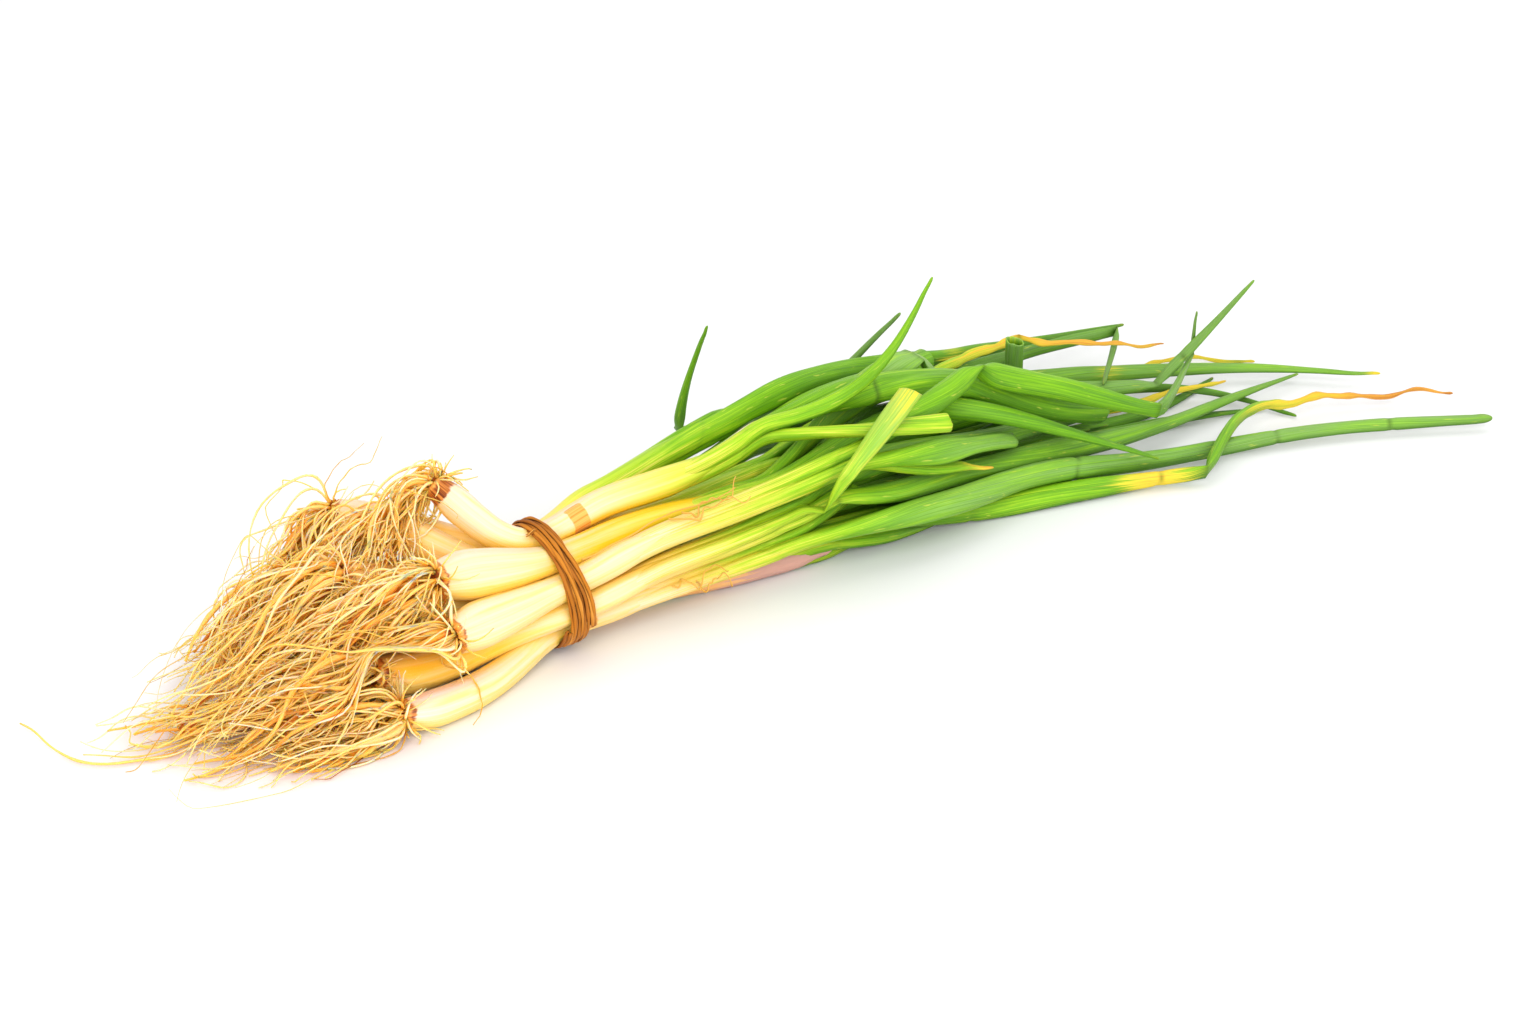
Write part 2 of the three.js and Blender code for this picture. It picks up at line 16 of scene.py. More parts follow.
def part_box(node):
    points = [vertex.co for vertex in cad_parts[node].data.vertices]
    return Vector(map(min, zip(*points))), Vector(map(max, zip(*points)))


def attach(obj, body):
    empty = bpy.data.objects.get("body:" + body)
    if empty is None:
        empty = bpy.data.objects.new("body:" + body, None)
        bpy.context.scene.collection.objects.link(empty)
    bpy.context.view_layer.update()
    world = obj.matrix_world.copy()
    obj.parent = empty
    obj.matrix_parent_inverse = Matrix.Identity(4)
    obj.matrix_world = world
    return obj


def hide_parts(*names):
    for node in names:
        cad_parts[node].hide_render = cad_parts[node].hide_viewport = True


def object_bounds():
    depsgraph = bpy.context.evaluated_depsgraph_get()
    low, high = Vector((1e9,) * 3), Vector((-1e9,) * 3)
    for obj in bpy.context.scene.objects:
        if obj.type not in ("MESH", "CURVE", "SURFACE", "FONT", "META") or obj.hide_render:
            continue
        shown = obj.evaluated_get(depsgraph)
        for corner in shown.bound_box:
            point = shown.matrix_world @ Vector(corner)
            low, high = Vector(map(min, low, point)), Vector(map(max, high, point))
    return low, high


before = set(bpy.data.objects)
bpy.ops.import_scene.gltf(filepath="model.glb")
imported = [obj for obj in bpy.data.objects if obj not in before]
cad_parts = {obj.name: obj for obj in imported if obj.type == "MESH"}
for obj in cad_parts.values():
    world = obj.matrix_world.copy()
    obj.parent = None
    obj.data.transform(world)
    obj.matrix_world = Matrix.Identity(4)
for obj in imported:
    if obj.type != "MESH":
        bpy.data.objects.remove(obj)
cad_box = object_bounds()
tie_low, tie_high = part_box("tie")
MM = 0.001
HUB = (np.array(tie_low) / MM + np.array(tie_high) / MM) / 2  # the middle of the tie
CIRCLE = 2 * math.pi

# ---- Sizes ----
CAD_SIDES = {"stem": 10, "leaf": 6, "lock": 4, "tie": 6}
STEM_SIDES = 44
STEM_STEP = 1.5
LEAF_SIDES = 26
LEAF_STEP = 1.5
ROOT_STEP = 2.0

SHEATHS = 4
SHEATH_STEP = 0.3  # how far the edge of an outer layer stands out of the next
LOBE_START = 0.12  # share of the way from the tie to the fork where most stems show their leaves
LOBE_SPREAD = (1.9, 2.5)  # the leaves off the stem's axis there, and at the fork
LOBE_WIDE = 2.65
LOBE_THICK = 2.15
WAIST = 0.32  # share by which a stem's own skin draws in among its leaves

FOLD_ANGLE = 35  # degrees between two CAD segments that make a sharp fold
FOLD_REACH = 4.5  # a fold flattens the leaf this far to each side
# An open leaf end, from its lip in: along the leaf, in from its skin, and the change of tone.
MOUTH = [(0.2, 0.25, -0.2), (0.0, 0.5, -0.25), (-4.5, 0.6, -0.1), (-9.0, 0.75, 0.1)]
STRAW_RADIUS = 0.34

PLATE_SHARE = 0.62  # the root plate's radius as a share of the bulb's
PLATE_SIDES = 22
ROOT_LEAD = 15  # a root heads for a point this far on along its guide
ROOT_GAP = 0.5  # between a root and a bulb
ROOT_DRIFT = 0.085  # how much its way changes at each step
KINK = 0.34
KINK_CHANCE = 0.07
ROOT_TAPER = 0.62
BULB_SEARCH = 12  # how far round the end of a root a bulb is looked for
ROOM_BEYOND = np.array([[-12, -11, 0.3], [12, 11, 5]])  # the roots' room, off the CAD box's corners
ROOM_MARGIN = 16  # they are drawn in smoothly over this width at its sides
Kind = namedtuple("Kind", "count lean spray reach curl radius vary sides shade hold pull")
# The kinds of root in a tuft. lean is how far one leans out from the plate, spray how wide it goes off
# its guide, reach its length as a share of the guide's (a plain length for the fringe), vary how its radius
# differs, shade how much browner it is. hold and pull are how strongly it keeps to its guide and ends by it.
KINDS = {
    "core": Kind(12, (0.2, 0.8), (2.5, 2.5, 2), (0.6, 0.95), 0.5, 0.95, (0.8, 1.2), 7, 0.25, 0.28, 0.8),
    "root": Kind(64, (0.3, 1.3), (5, 5, 3.5), (0.5, 1.06), (0.7, 1.6), 0.46, (0.7, 1.2), 5, 0, 0.28, 0.8),
    "wisp": Kind(20, (0.5, 1.5), (9, 9, 8), (0.6, 1.2), (1.0, 1.8), 0.46, (0.36, 0.6), 4, 0.28, 0.28, 0.8),
    "fringe": Kind(30, (1.2, 2.2), (2, 2, 2), (5, 15), (1.6, 3.0), 0.46, (0.6, 1.0), 5, 0, 0.05, 0.0),
}
# What sets some tufts apart: more roots, a longer reach, and how much they hang down.
MORE_ROOTS = {"01": 14, "02": 20, "03": 10, "10": 26, "12": 16}
LONGER = {"03": 1.08, "05": 1.05, "06": 1.14, "07": 1.12, "08": 1.2, "09": 1.15}
DROOP = {"01": 0.7, "02": 0.7, "03": 0.5, "10": 0.6, "12": 0.4}
USUAL_DROOP = 0.15
# Whose roots lie over whose bulb.
OVER = {"03": "06", "04": "06", "05": "06", "11": "06", "12": "06", "06": "07"}
# The onion with a few long roots that lie by themselves: spray, share of the guide's length, radius.
FAR_ONION = "08"
FAR_ROOTS = [((0, 0, 0), 1.0, 0.7), ((0, 2.5, 0), 0.72, 0.5), ((0, -2, 0), 0.55, 0.4)]

TIE_FIBRES = 3
FIBRE_RADIUS = 0.52
FIBRE_OFF = 0.58  # off the middle of the tie's strand
TIE_END = 7  # the length of the free end

CAMERA_FROM_TIE = (-273.2, -744.4, 444.1)
CAMERA_TURN = math.radians(25)
CAMERA_DOWN = math.radians(28)

# ---- What sets some stems and leaves apart ----
# Stems: tint shifts one along its colours, towards white below 0 and green above it. Shares are of the way
# from the tie to the fork: pale is where it stops being white, and lobes where the leaves begin to show.
# warm yellows the stem; the gold on its bulb is painted shade, for bulbs that lie in shade. papery is a dry
# outer skin. patch is a brown spot: its share, and how far it reaches each way. swell makes the bulb that
# much fuller than the CAD's, and full the stem past the tie. crown is how far the brown round the root plate
# reaches up.
USUAL_STEM = dict(
    tint=0.0, pale=0.0, warm=0.1, papery=0.0, lobes=LOBE_START, swell=0.0, full=0.0, gold_shade=0.0, crown=0.6
)
STEMS = {
    "01": dict(crown=4.5, warm=0.0, tint=0.01, pale=0.1, lobes=0.5, patch=(0.15, 3.2)),
    "02": dict(crown=1.5, tint=0.1, pale=-0.2, gold_shade=0.25, full=0.35),
    "03": dict(crown=3.0, tint=0.05, gold_shade=0.4, full=0.45),
    "04": dict(warm=1.0, lobes=0.5, swell=0.06, gold_shade=0.15),
    "05": dict(tint=-0.01, pale=0.1, warm=0.15, gold_shade=0.1),
    "06": dict(crown=1.4, tint=-0.02, pale=0.1, gold_shade=1.25),
    "07": dict(patch=(0.09, 1.6), crown=1.2, tint=-0.01, pale=0.15),
    "08": dict(tint=-0.02, papery=1.0),
    "09": dict(gold_shade=0.5),
    "10": dict(gold_shade=0.6, full=0.45),
    "11": dict(warm=0.4, gold_shade=0.7),
    "12": dict(gold_shade=0.7),
}
# Dry strips of skin along a stem: the shares where one starts and ends, the angle round the stem, how far
# its end stands off, and how much it curls.
STRAWS = {
    "05": [(0.05, 0.6, 1.6, 1.2, 0.7), (0.36, 0.62, 1.1, 3.5, 2.6), (0.4, 0.6, 1.4, 2.5, 3.0)],
    "07": [(0.42, 0.62, 0.5, 4.0, 2.4), (0.52, 0.66, 0.2, 3.0, 2.8)],
}
# Leaves: tint as above. grey is the waxy bloom, and bloom more of it by the tip. dry lists withered
# stretches as (share of the length, reach, strength), and crease the shares where a thin mark runs across.
# fold is how dark the line in a fold is. flat is the thickness as a share of the width, and turn the way the
# wide side lies, in degrees up from level. collar is papery skin at the base, and edge where it ends, off
# the fork. broad widens the leaf, thin narrows its far half, and slim its start, or widens that below 0.
USUAL_LEAF = dict(
    grey=0.03, bloom=0.0, dry=(), crease=(), fold=1.0, collar=0.0, broad=1.0, thin=0.0, slim=0.0
)
LEAVES = {
    "01a": dict(tint=0.0, crease=[0.31], collar=1.1, edge=-2, flat=0.9, broad=1.1),
    "01b": dict(tint=-0.02, flat=0.9, thin=0.2),
    "01c": dict(tint=-0.14, flat=0.8),
    "02a": dict(dry=[(0.55, 12, 0.5)], slim=-0.5),
    "02b": dict(tint=-0.02, grey=0.7, slim=-0.3),
    "02c": dict(tint=-0.05, slim=-0.5),
    "03a": dict(grey=0.35, crease=[0.84], slim=-0.4),
    "03b": dict(thin=0.4, grey=0.3, tint=0.04, slim=-0.7),
    "03c": dict(grey=0.5, dry=[(0.74, 9, 0.8)], flat=0.6, turn=15, slim=-0.4),
    "04a": dict(thin=0.1, tint=0.05, slim=-0.3),
    "04b": dict(grey=0.5, flat=0.45, turn=-48),
    "04c": dict(tint=0.02, broad=1.35),
    "05a": dict(thin=0.22, bloom=0.6, tint=0.03),
    "05b": dict(tint=-0.03, dry=[(1.0, 14, 0.7)], flat=0.7),
    "05c": dict(tint=0.04, grey=0.35, thin=0.42, flat=0.55, turn=-45),
    "06a": dict(grey=0.2),
    "06b": dict(tint=-0.12, grey=0.55, dry=[(1.0, 16, 0.5)], fold=0.2, flat=0.7, turn=-39, slim=0.45),
    "06c": dict(grey=0.3, tint=0.05, thin=0.3),
    "07a": dict(thin=0.1, grey=0.35, crease=[0.42, 0.63, 0.72, 0.88]),
    "07b": dict(tint=-0.08),
    "07c": dict(grey=0.6),
    "08a": dict(grey=0.6, tint=-0.02),
    "08b": dict(tint=-0.06, dry=[(0.3, 8, 0.45)]),
    "09a": dict(grey=0.2, dry=[(1.0, 10, 0.5), (0.62, 8, 0.4)]),
    "09b": dict(tint=-0.1, dry=[(0.9, 40, 0.85)]),
    "09c": dict(tint=0.08),
    "10a": dict(tint=-0.1, dry=[(0.84, 76, 1.05)], flat=0.6, slim=-0.5),
    "10b": dict(tint=0.06, slim=-0.3),
    "10c": dict(tint=0.08, slim=-0.3),
    "11a": dict(thin=0.1, tint=-0.06, crease=[0.25, 0.5], dry=[(0.49, 16, 0.8), (0.92, 58, 1.3)]),
    "11b": dict(grey=0.4),
    "11c": dict(tint=0.06),
    "12a": dict(tint=0.06),
    "12b": dict(tint=0.16, dry=[(0.86, 40, 0.8)], flat=0.6),
    "12c": dict(tint=0.08),
}
DRY_LEAVES = ("10a", "12b")


# ---- Lines through the CAD solids ----
def unit(v):
    return v / np.maximum(np.linalg.norm(v, axis=-1, keepdims=True), 1e-9)


def ease(start, end, x):
    t = np.clip((x - start) / (end - start), 0, 1)
    return t * t * (3 - 2 * t)


def bell(x, reach):
    return np.exp(-((x / reach) ** 2))


def wrapped(turn):
    """An angle brought to within half a circle either side of 0."""
    return (turn + math.pi) % CIRCLE - math.pi


def welded(node):
    """The corners of a CAD node, and which others each one shares an edge with."""
    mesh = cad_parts[node].data
    corners = np.empty(3 * len(mesh.vertices), np.float32)
    mesh.vertices.foreach_get("co", corners)
    spots, where = np.unique(corners.reshape(-1, 3), axis=0, return_inverse=True)
    edges = np.empty(2 * len(mesh.edges), np.int32)
    mesh.edges.foreach_get("vertices", edges)
    meets = [set() for _ in spots]
    for a, b in where.ravel()[edges].reshape(-1, 2).tolist():
        if a != b:
            meets[a].add(b)
            meets[b].add(a)
    return spots.astype(float) / MM, meets


def rings_from(start, meets, sides):
    """The rings of a tube of so many sides, in turn from the point that closes its end."""
    seen, ring, found = {start}, {start}, []
    while True:
        ring = {m for v in ring for m in meets[v]} - seen
        if len(ring) != sides:
            return found, len(ring)
        seen |= ring
        found.append(sorted(ring))


def strand(node, kind):
    """The middle line of a CAD tube with its radius, as rows of four numbers."""
    spots, meets = welded(node)
    sides = CAD_SIDES[kind]
    for start, near in enumerate(meets):
        if len(near) == sides:
            found, left = rings_from(start, meets, sides)
            if left == 1 and sides * len(found) + 2 == len(spots):
                rings = np.array([spots[ring] for ring in found])
                middle = rings.mean(axis=1)
                radius = np.linalg.norm(rings - middle[:, None], axis=2).mean(axis=1)
                return np.column_stack([middle, radius])
    raise ValueError(f"{node} isn't one tube")


def lock_lines(node, plate):
    """The middle lines of a tuft's locks, from the root plate out."""
    spots, meets = welded(node)
    lines = []
    for start, near in enumerate(meets):
        if len(near) == CAD_SIDES["lock"]:
            found, _ = rings_from(start, meets, CAD_SIDES["lock"])
            if len(found) >= 3:
                line = [spots[start], *[spots[ring].mean(axis=0) for ring in found]]
                lines.append(np.array([*line, plate][::-1]))
    return lines


def stations(points):
    """How far along its line each point lies."""
    return np.concatenate([[0], np.cumsum(np.linalg.norm(np.diff(points, axis=0), axis=1))])


def folds(points):
    """Which points the line turns sharply at."""
    way = unit(np.diff(points, axis=0))
    turn = np.degrees(np.arccos(np.clip((way[1:] * way[:-1]).sum(axis=1), -1, 1)))
    return (np.flatnonzero(turn > FOLD_ANGLE) + 1).tolist()


def read_off(rows, at, where):
    """The rows, which lie at those stations, read off at others."""
    return np.column_stack([np.interp(where, at, column) for column in rows.T])


def smooth(rows, passes, kept=()):
    """Rows that each move towards their neighbours, but for the ends and those kept."""
    rows = rows.copy()
    for _ in range(passes):
        even = rows.copy()
        even[1:-1] = (rows[:-2] + 2 * rows[1:-1] + rows[2:]) / 4
        for i in kept:
            even[i] = rows[i]
        rows = even
    return rows


def curve(rows, step):
    """Rows a step apart along a smooth curve through the given ones, which each start with a point."""
    at = stations(rows[:, :3])
    slope = np.gradient(rows, at, axis=0)
    count = max(2, round(at[-1] / step))
    want = np.linspace(0, at[-1], count + 1)
    i = np.clip(np.searchsorted(at, want, side="right") - 1, 0, len(at) - 2)
    wide = (at[i + 1] - at[i])[:, None]
    t = ((want - at[i])[:, None]) / wide
    ahead = t * t * (3 - 2 * t)
    out = rows[i] * (1 - ahead) + rows[i + 1] * ahead
    return out + wide * t * (1 - t) * (slope[i] * (1 - t) - slope[i + 1] * t)


def folded_curve(rows, corners, step):
    """The same, with sharp turns at the given corners, and where those are in the new rows."""
    ends = [0, *corners, len(rows) - 1]
    out, turns = rows[:1], []
    for a, b in zip(ends, ends[1:]):
        out = np.vstack([out, curve(rows[a : b + 1], step)[1:]])
        turns.append(len(out) - 1)
    return out, turns[:-1]


def turned(side, top, turn):
    """Directions across a line, turned by that angle from side towards top."""
    return side * np.cos(turn)[:, None] + top * np.sin(turn)[:, None]


def frames(points, first_top):
    """The heading at each point and two directions across it, which turn as little as they can."""
    heading = unit(np.gradient(points, axis=0))
    top = np.empty_like(points)
    last = np.asarray(first_top, float)
    for i, way in enumerate(heading):
        last = unit(last - way * (last @ way))
        top[i] = last
    return heading, np.cross(heading, top), top


def waves(rng, x, length, layers=3):
    """A wavy value about 0 along x, with that longest wavelength."""
    total = np.zeros_like(x, dtype=float)
    for layer in range(layers):
        phase = rng.uniform(0, CIRCLE)
        total += np.sin(CIRCLE * x / length * 1.83**layer + phase) * 0.55**layer
    return total


def wander(rng, x, length, layers=3):
    """Rows of three such values."""
    return np.column_stack([waves(rng, x, length, layers) for _ in range(3)])


def drawn(rng, span):
    """A number as it is, or one drawn from between two."""
    return rng.uniform(*span) if isinstance(span, tuple) else span


# ---- Meshes ----
def added(name, data):
    """A new object in the scene."""
    made = bpy.data.objects.new(name, data)
    bpy.context.scene.collection.objects.link(made)
    return made


class Skin:
    """Gathers closed tubes, each of rings with a point at both ends, into one mesh."""

    def __init__(self, *marks):
        self.corners, self.faces, self.count = [], [], 0
        self.marks = {name: [] for name in (*marks, "fibre")}

    def tube(self, middle, offsets, at, marks):
        """Offsets are ring corners about a ring's middle. A mark has a value for each ring or corner."""
        rings, sides = offsets.shape[:2]
        body = (middle[:, None] + offsets).reshape(-1, 3)
        self.corners.append(np.vstack([middle[:1], body, middle[-1:]]))
        first, grid = self.count, self.count + 1 + np.arange(rings * sides).reshape(rings, sides)
        final = first + 1 + rings * sides
        around = np.roll(grid, -1, axis=1)
        quads = np.stack([grid[:-1], grid[1:], around[1:], around[:-1]], axis=-1)
        self.faces += quads.reshape(-1, 4).tolist()
        self.faces += [[first, a, b] for a, b in zip(grid[0].tolist(), around[0].tolist())]
        self.faces += [[final, b, a] for a, b in zip(grid[-1].tolist(), around[-1].tolist())]
        self.count = final + 1
        # Seamless coordinates for streaks that run along a strand.
        turn, down = np.broadcast_arrays(turns_of(sides), np.asarray(at)[:, None] / 100)
        marks = marks | {"fibre": np.stack([np.cos(turn), np.sin(turn), down], axis=-1)}
        for name, gathered in self.marks.items():
            values = np.asarray(marks.get(name, 0.0), float)
            if values.ndim < 3:
                values = np.broadcast_to(values if values.ndim != 1 else values[:, None], (rings, sides))
            ends = [values[end].reshape(sides, -1).mean(axis=0) for end in (0, -1)]
            gathered.append(np.vstack([ends[0], values.reshape(rings * sides, -1), ends[1]]))

    def dress(self, node, name, material, slot):
        """Makes the mesh, none of it under the floor, and lets it stand for the CAD node."""
        corners = np.vstack(self.corners)
        corners[:, 2] = np.maximum(corners[:, 2], 0.0)
        mesh = bpy.data.meshes.new(name)
        mesh.from_pydata((corners * MM).tolist(), [], self.faces)
        mesh.polygons.foreach_set("use_smooth", [True] * len(mesh.polygons))
        for mark, parts in self.marks.items():
            values = np.vstack(parts).astype(np.float32)
            kind, field = ("FLOAT_VECTOR", "vector") if mark == "fibre" else ("FLOAT", "value")
            mesh.attributes.new(mark, kind, "POINT").data.foreach_set(field, values.ravel())
        mesh.materials.append(material)
        piece = added(name, mesh)
        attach(piece, "root")
        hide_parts(node)


def round_about(side, top, wide, thick, angle):
    """Ring corners of an ellipse with those half sizes, as offsets from its middle."""
    across = wide * np.cos(angle)
    up = thick * np.sin(angle)
    return side[:, None] * across[..., None] + top[:, None] * up[..., None]


def turns_of(sides):
    return np.linspace(0, CIRCLE, sides, endpoint=False)[None]


def thread(skin, path, radius, sides=5, start=0, **marks):
    """A thin round strand along a path."""
    at = stations(path)
    _, side, top = frames(path, (0.13, 0.21, 1))
    radius = np.broadcast_to(radius, at.shape)[:, None]
    rings = round_about(side, top, radius, radius, turns_of(sides))
    skin.tube(path, rings, at + start, marks)


# ---- Materials ----
def colour(text):
    """Six hex digits as the linear numbers that nodes take."""
    parts = [int(text[i : i + 2], 16) / 255 for i in (0, 2, 4)]
    return [p / 12.92 if p <= 0.04045 else ((p + 0.055) / 1.055) ** 2.4 for p in parts] + [1.0]


class Paint:
    """A material and its nodes. Any value can be another node's output."""

    def __init__(self, name, roughness, subsurface, reach, colours=(1.0, 0.8, 0.4)):
        self.material = bpy.data.materials.new(name)
        self.material.use_nodes = True
        self.tree = self.material.node_tree
        self.finish({"Roughness": roughness, "Specular IOR Level": 0.25, "Subsurface Weight": subsurface})
        self.finish({"Subsurface Radius": colours, "Subsurface Scale": reach * MM})

    def set_inputs(self, node, inputs):
        for key, value in inputs.items():
            if isinstance(value, bpy.types.NodeSocket):
                self.tree.links.new(value, node.inputs[key])
            else:
                node.inputs[key].default_value = value

    def finish(self, inputs):
        """Sets inputs of the material's shader."""
        self.set_inputs(self.tree.nodes["Principled BSDF"], inputs)
        return self.material

    def put(self, kind, inputs, **fields):
        """Adds a node."""
        made = self.tree.nodes.new("ShaderNode" + kind)
        for field, value in fields.items():
            setattr(made, field, value)
        self.set_inputs(made, inputs)
        return made

    def sum_of(self, a, b, factor=1.0):
        """a + factor * b"""
        return self.put("Math", {0: b, 1: factor, 2: a}, operation="MULTIPLY_ADD").outputs[0]

    def mark(self, name, *noises):
        """A mark of the mesh with noises added to it, each by its amount."""
        value = self.put("Attribute", {}, attribute_name=name).outputs["Fac"]
        for noise, amount in noises:
            value = self.sum_of(value, self.sum_of(-0.5, noise), amount)
        return value

    def product(self, a, b):
        return self.put("Math", {0: a, 1: b}, operation="MULTIPLY").outputs[0]

    def spread(self, value, low, high, to_low=0.0, to_high=1.0):
        inputs = {0: value, 1: low, 2: high, 3: to_low, 4: to_high}
        return self.put("MapRange", inputs, interpolation_type="SMOOTHSTEP").outputs[0]

    def ramp(self, value, stops):
        made = self.put("ValToRGB", {0: value})
        band = made.color_ramp
        while len(band.elements) < len(stops):
            band.elements.new(0.5)
        for element, (place, text) in zip(band.elements, stops):
            element.position = place
            element.color = colour(text)
        return made.outputs[0]

    def layered(self, base, *layers):
        """Colours laid over a base one after another, each by its share, from 0 to 1."""
        for share, over in layers:
            base = self.put("Mix", {0: share, 6: base, 7: over}, data_type="RGBA").outputs[2]
        return base

    def streaks(self, across, along, detail=3.0):
        """A noise drawn out along a strand."""
        fibre = self.put("Attribute", {}, attribute_name="fibre").outputs["Vector"]
        inputs = {0: fibre, 1: (across, across, along)}
        scaled = self.put("VectorMath", inputs, operation="MULTIPLY").outputs[0]
        return self.put("TexNoise", {"Vector": scaled, "Scale": 1.0, "Detail": detail}).outputs[0]

    def hidden(self, reach):
        """A mask for painted shade: 0 in the open, 1 deep in a gap, from ambient occlusion."""
        seen = self.put("AmbientOcclusion", {"Distance": reach * MM}, samples=4).outputs["AO"]
        return self.spread(seen, 0.2, 0.85, 1.0, 0.0)

    def underside_shade(self):
        """A mask for painted shade on undersides: 0 where a surface faces up, 1 where it faces down."""
        normal = self.put("NewGeometry", {}).outputs["Normal"]
        return self.spread(self.put("SeparateXYZ", {0: normal}).outputs[2], -0.45, 0.62, 1.0, 0.0)

    def bump(self, height, strength, distance):
        inputs = {"Height": height, "Strength": strength, "Distance": distance * MM}
        return self.put("Bump", inputs).outputs[0]


# From the white of a bulb through the yellow of a shank to the green of a leaf: its own colours, and the
# painted shade laid on them in gaps and on undersides.
OPEN = [(0.0, "f6dad4"), (0.18, "f5d4a8"), (0.32, "ecda78"), (0.43, "dcdd4c"), (0.53, "aed422")]
OPEN += [(0.63, "8cc412"), (0.75, "70ac0a"), (0.88, "5a9410"), (1.0, "487a18")]
PAINTED_SHADE = [(0.0, "fbe08c"), (0.22, "f6c92a"), (0.38, "d6bc18"), (0.5, "86a40e"), (0.63, "4e820a")]
PAINTED_SHADE += [(1.0, "2c5a0a")]
BLOOM = [(0.3, "86a85a"), (0.7, "b0cc8c")]
WITHERED = [(0.0, "dcd63c"), (0.35, "ecc638"), (0.65, "eaa040"), (1.0, "a5602a")]
FILM = [(0.45, "dd8a30"), (0.8, "f0b46c"), (1.05, "e8b07e"), (1.3, "cc9a8c")]
BARK = [(0.35, "5e2608"), (0.5, "a4561a"), (0.65, "d88c3a")]
SCAB = [(0.35, "d98a2c"), (0.65, "f4ba60")]
ROOT_COLOURS = [(0.0, "ffeccc"), (0.25, "ffdcaa"), (0.5, "ffca7c"), (0.75, "fcb658"), (1.0, "7a3a10")]
# Painted shade for the crevices among the roots: a deeper, more saturated orange.
ROOT_PAINTED_SHADE = [(0.2, "ffc048"), (0.8, "ff9c28"), (1.0, "7a3a10")]
TIE_COLOURS = [(0.0, "5e2c08"), (0.35, "a45e10"), (0.65, "c87c1c"), (1.0, "eeac50")]


def leaf_material():
    paint = Paint("leaf", 0.38, 0.1, 1.5)
    fine = paint.streaks(15, 0.9)
    broad = paint.streaks(1.6, 2.6, 4.0)
    tone = paint.mark("tone", (fine, 0.55), (broad, 0.4), (paint.streaks(4.0, 7.0, 4.0), 0.35))
    # The darker, more saturated colours used as painted shade.
    shade_colour = paint.ramp(tone, PAINTED_SHADE)
    grey = paint.product(paint.mark("grey"), paint.spread(broad, 0.35, 0.6, 0.5, 1.0))
    # Painted shade: deep in gaps, and some on the sides that face down.
    shade = paint.sum_of(paint.hidden(11), paint.underside_shade(), 0.4)
    dry = paint.mark("dry", (fine, 1.3), (broad, 1.0))
    dry_share = paint.spread(dry, 0.38, 0.72)
    base = paint.layered(
        paint.ramp(tone, OPEN),
        (grey, paint.ramp(fine, BLOOM)),
        # Fine dark streaks along the leaf, in the colours of its painted shade.
        (paint.spread(paint.streaks(22, 1.4, 2.0), 0.36, 0.52, 0.5, 0.0), shade_colour),
        # Painted shade laid over the base colour.
        (paint.product(shade, 0.85), shade_colour),
        (dry_share, paint.ramp(paint.spread(dry, 0.4, 1.7), WITHERED)),
        (paint.spread(paint.streaks(3.2, 14, 2.0), 0.66, 0.74, 0.0, 0.6), colour("c9cf4a")),
        (paint.spread(paint.mark("papery", (fine, 0.8)), 0.35, 0.8), colour("f6e2bc")),
        (paint.product(paint.mark("crease"), 0.8), colour("3a5a12")),
    )
    rough = paint.sum_of(paint.spread(fine, 0.3, 0.7, 0.36, 0.52), dry_share, 0.25)
    ridges = paint.bump(paint.sum_of(fine, broad, 0.6), 0.8, 0.3)
    return paint.finish({"Base Color": base, "Roughness": rough, "Normal": ridges})


def stem_material():
    paint = Paint("stem", 0.34, 0.2, 2.0)
    fine = paint.streaks(12, 0.6)
    broad = paint.streaks(2.4, 1.5, 4.0)
    tone = paint.mark("tone", (fine, 0.3), (broad, 0.3))
    # Painted shade: deep in gaps, and more on the sides that face down.
    shade = paint.sum_of(paint.hidden(10), paint.underside_shade(), 0.55)
    papery = paint.spread(paint.mark("papery", (broad, 0.9)), 0.35, 0.75)
    crown = paint.spread(paint.mark("crown", (broad, 1.0), (fine, 0.6)), 0.35, 0.75)
    patch = paint.spread(paint.mark("patch", (broad, 0.6)), 0.4, 0.7)
    base = paint.layered(
        paint.ramp(tone, OPEN),
        # The stem's own yellow, and the gold painted as shade on bulbs that lie in shade.
        (paint.product(paint.mark("warm"), paint.spread(broad, 0.35, 0.6, 0.5, 1.0)), colour("ffb80c")),
        (paint.product(paint.mark("seam"), 0.6), colour("f3cf4e")),
        # Painted shade laid over the base colour.
        (paint.product(shade, 0.9), paint.ramp(tone, PAINTED_SHADE)),
        (papery, paint.ramp(paint.mark("papery", (broad, 0.9), (fine, 0.5)), FILM)),
        (crown, paint.ramp(paint.streaks(7, 7), BARK)),
        (patch, paint.ramp(fine, SCAB)),
        (paint.spread(paint.mark("patch"), 1.5, 1.8), colour("dca446")),
    )
    rough = paint.spread(fine, 0.3, 0.7, 0.3, 0.44)
    ridges = paint.bump(paint.sum_of(fine, broad, 0.5), 0.5, 0.22)
    paint.finish({"Coat Weight": 0.12, "Coat Roughness": 0.3})
    return paint.finish({"Base Color": base, "Roughness": rough, "Normal": ridges})


def root_material():
    paint = Paint("root", 0.6, 0.8, 3.0, (1.0, 0.5, 0.12))
    fine = paint.streaks(2.0, 9.0)
    tone = paint.mark("tone", (fine, 0.5))
    # Painted shade: deep crevices in the tuft take that deeper orange.
    painted_gap_shade = (paint.product(paint.hidden(6), 0.95), paint.ramp(tone, ROOT_PAINTED_SHADE))
    base = paint.layered(paint.ramp(tone, ROOT_COLOURS), painted_gap_shade)
    rough = paint.spread(fine, 0.3, 0.7, 0.5, 0.75)
    paint.finish({"Base Color": base, "Roughness": rough, "Specular IOR Level": 0.05})
    return paint.finish({"Normal": paint.bump(fine, 0.5, 0.15)})


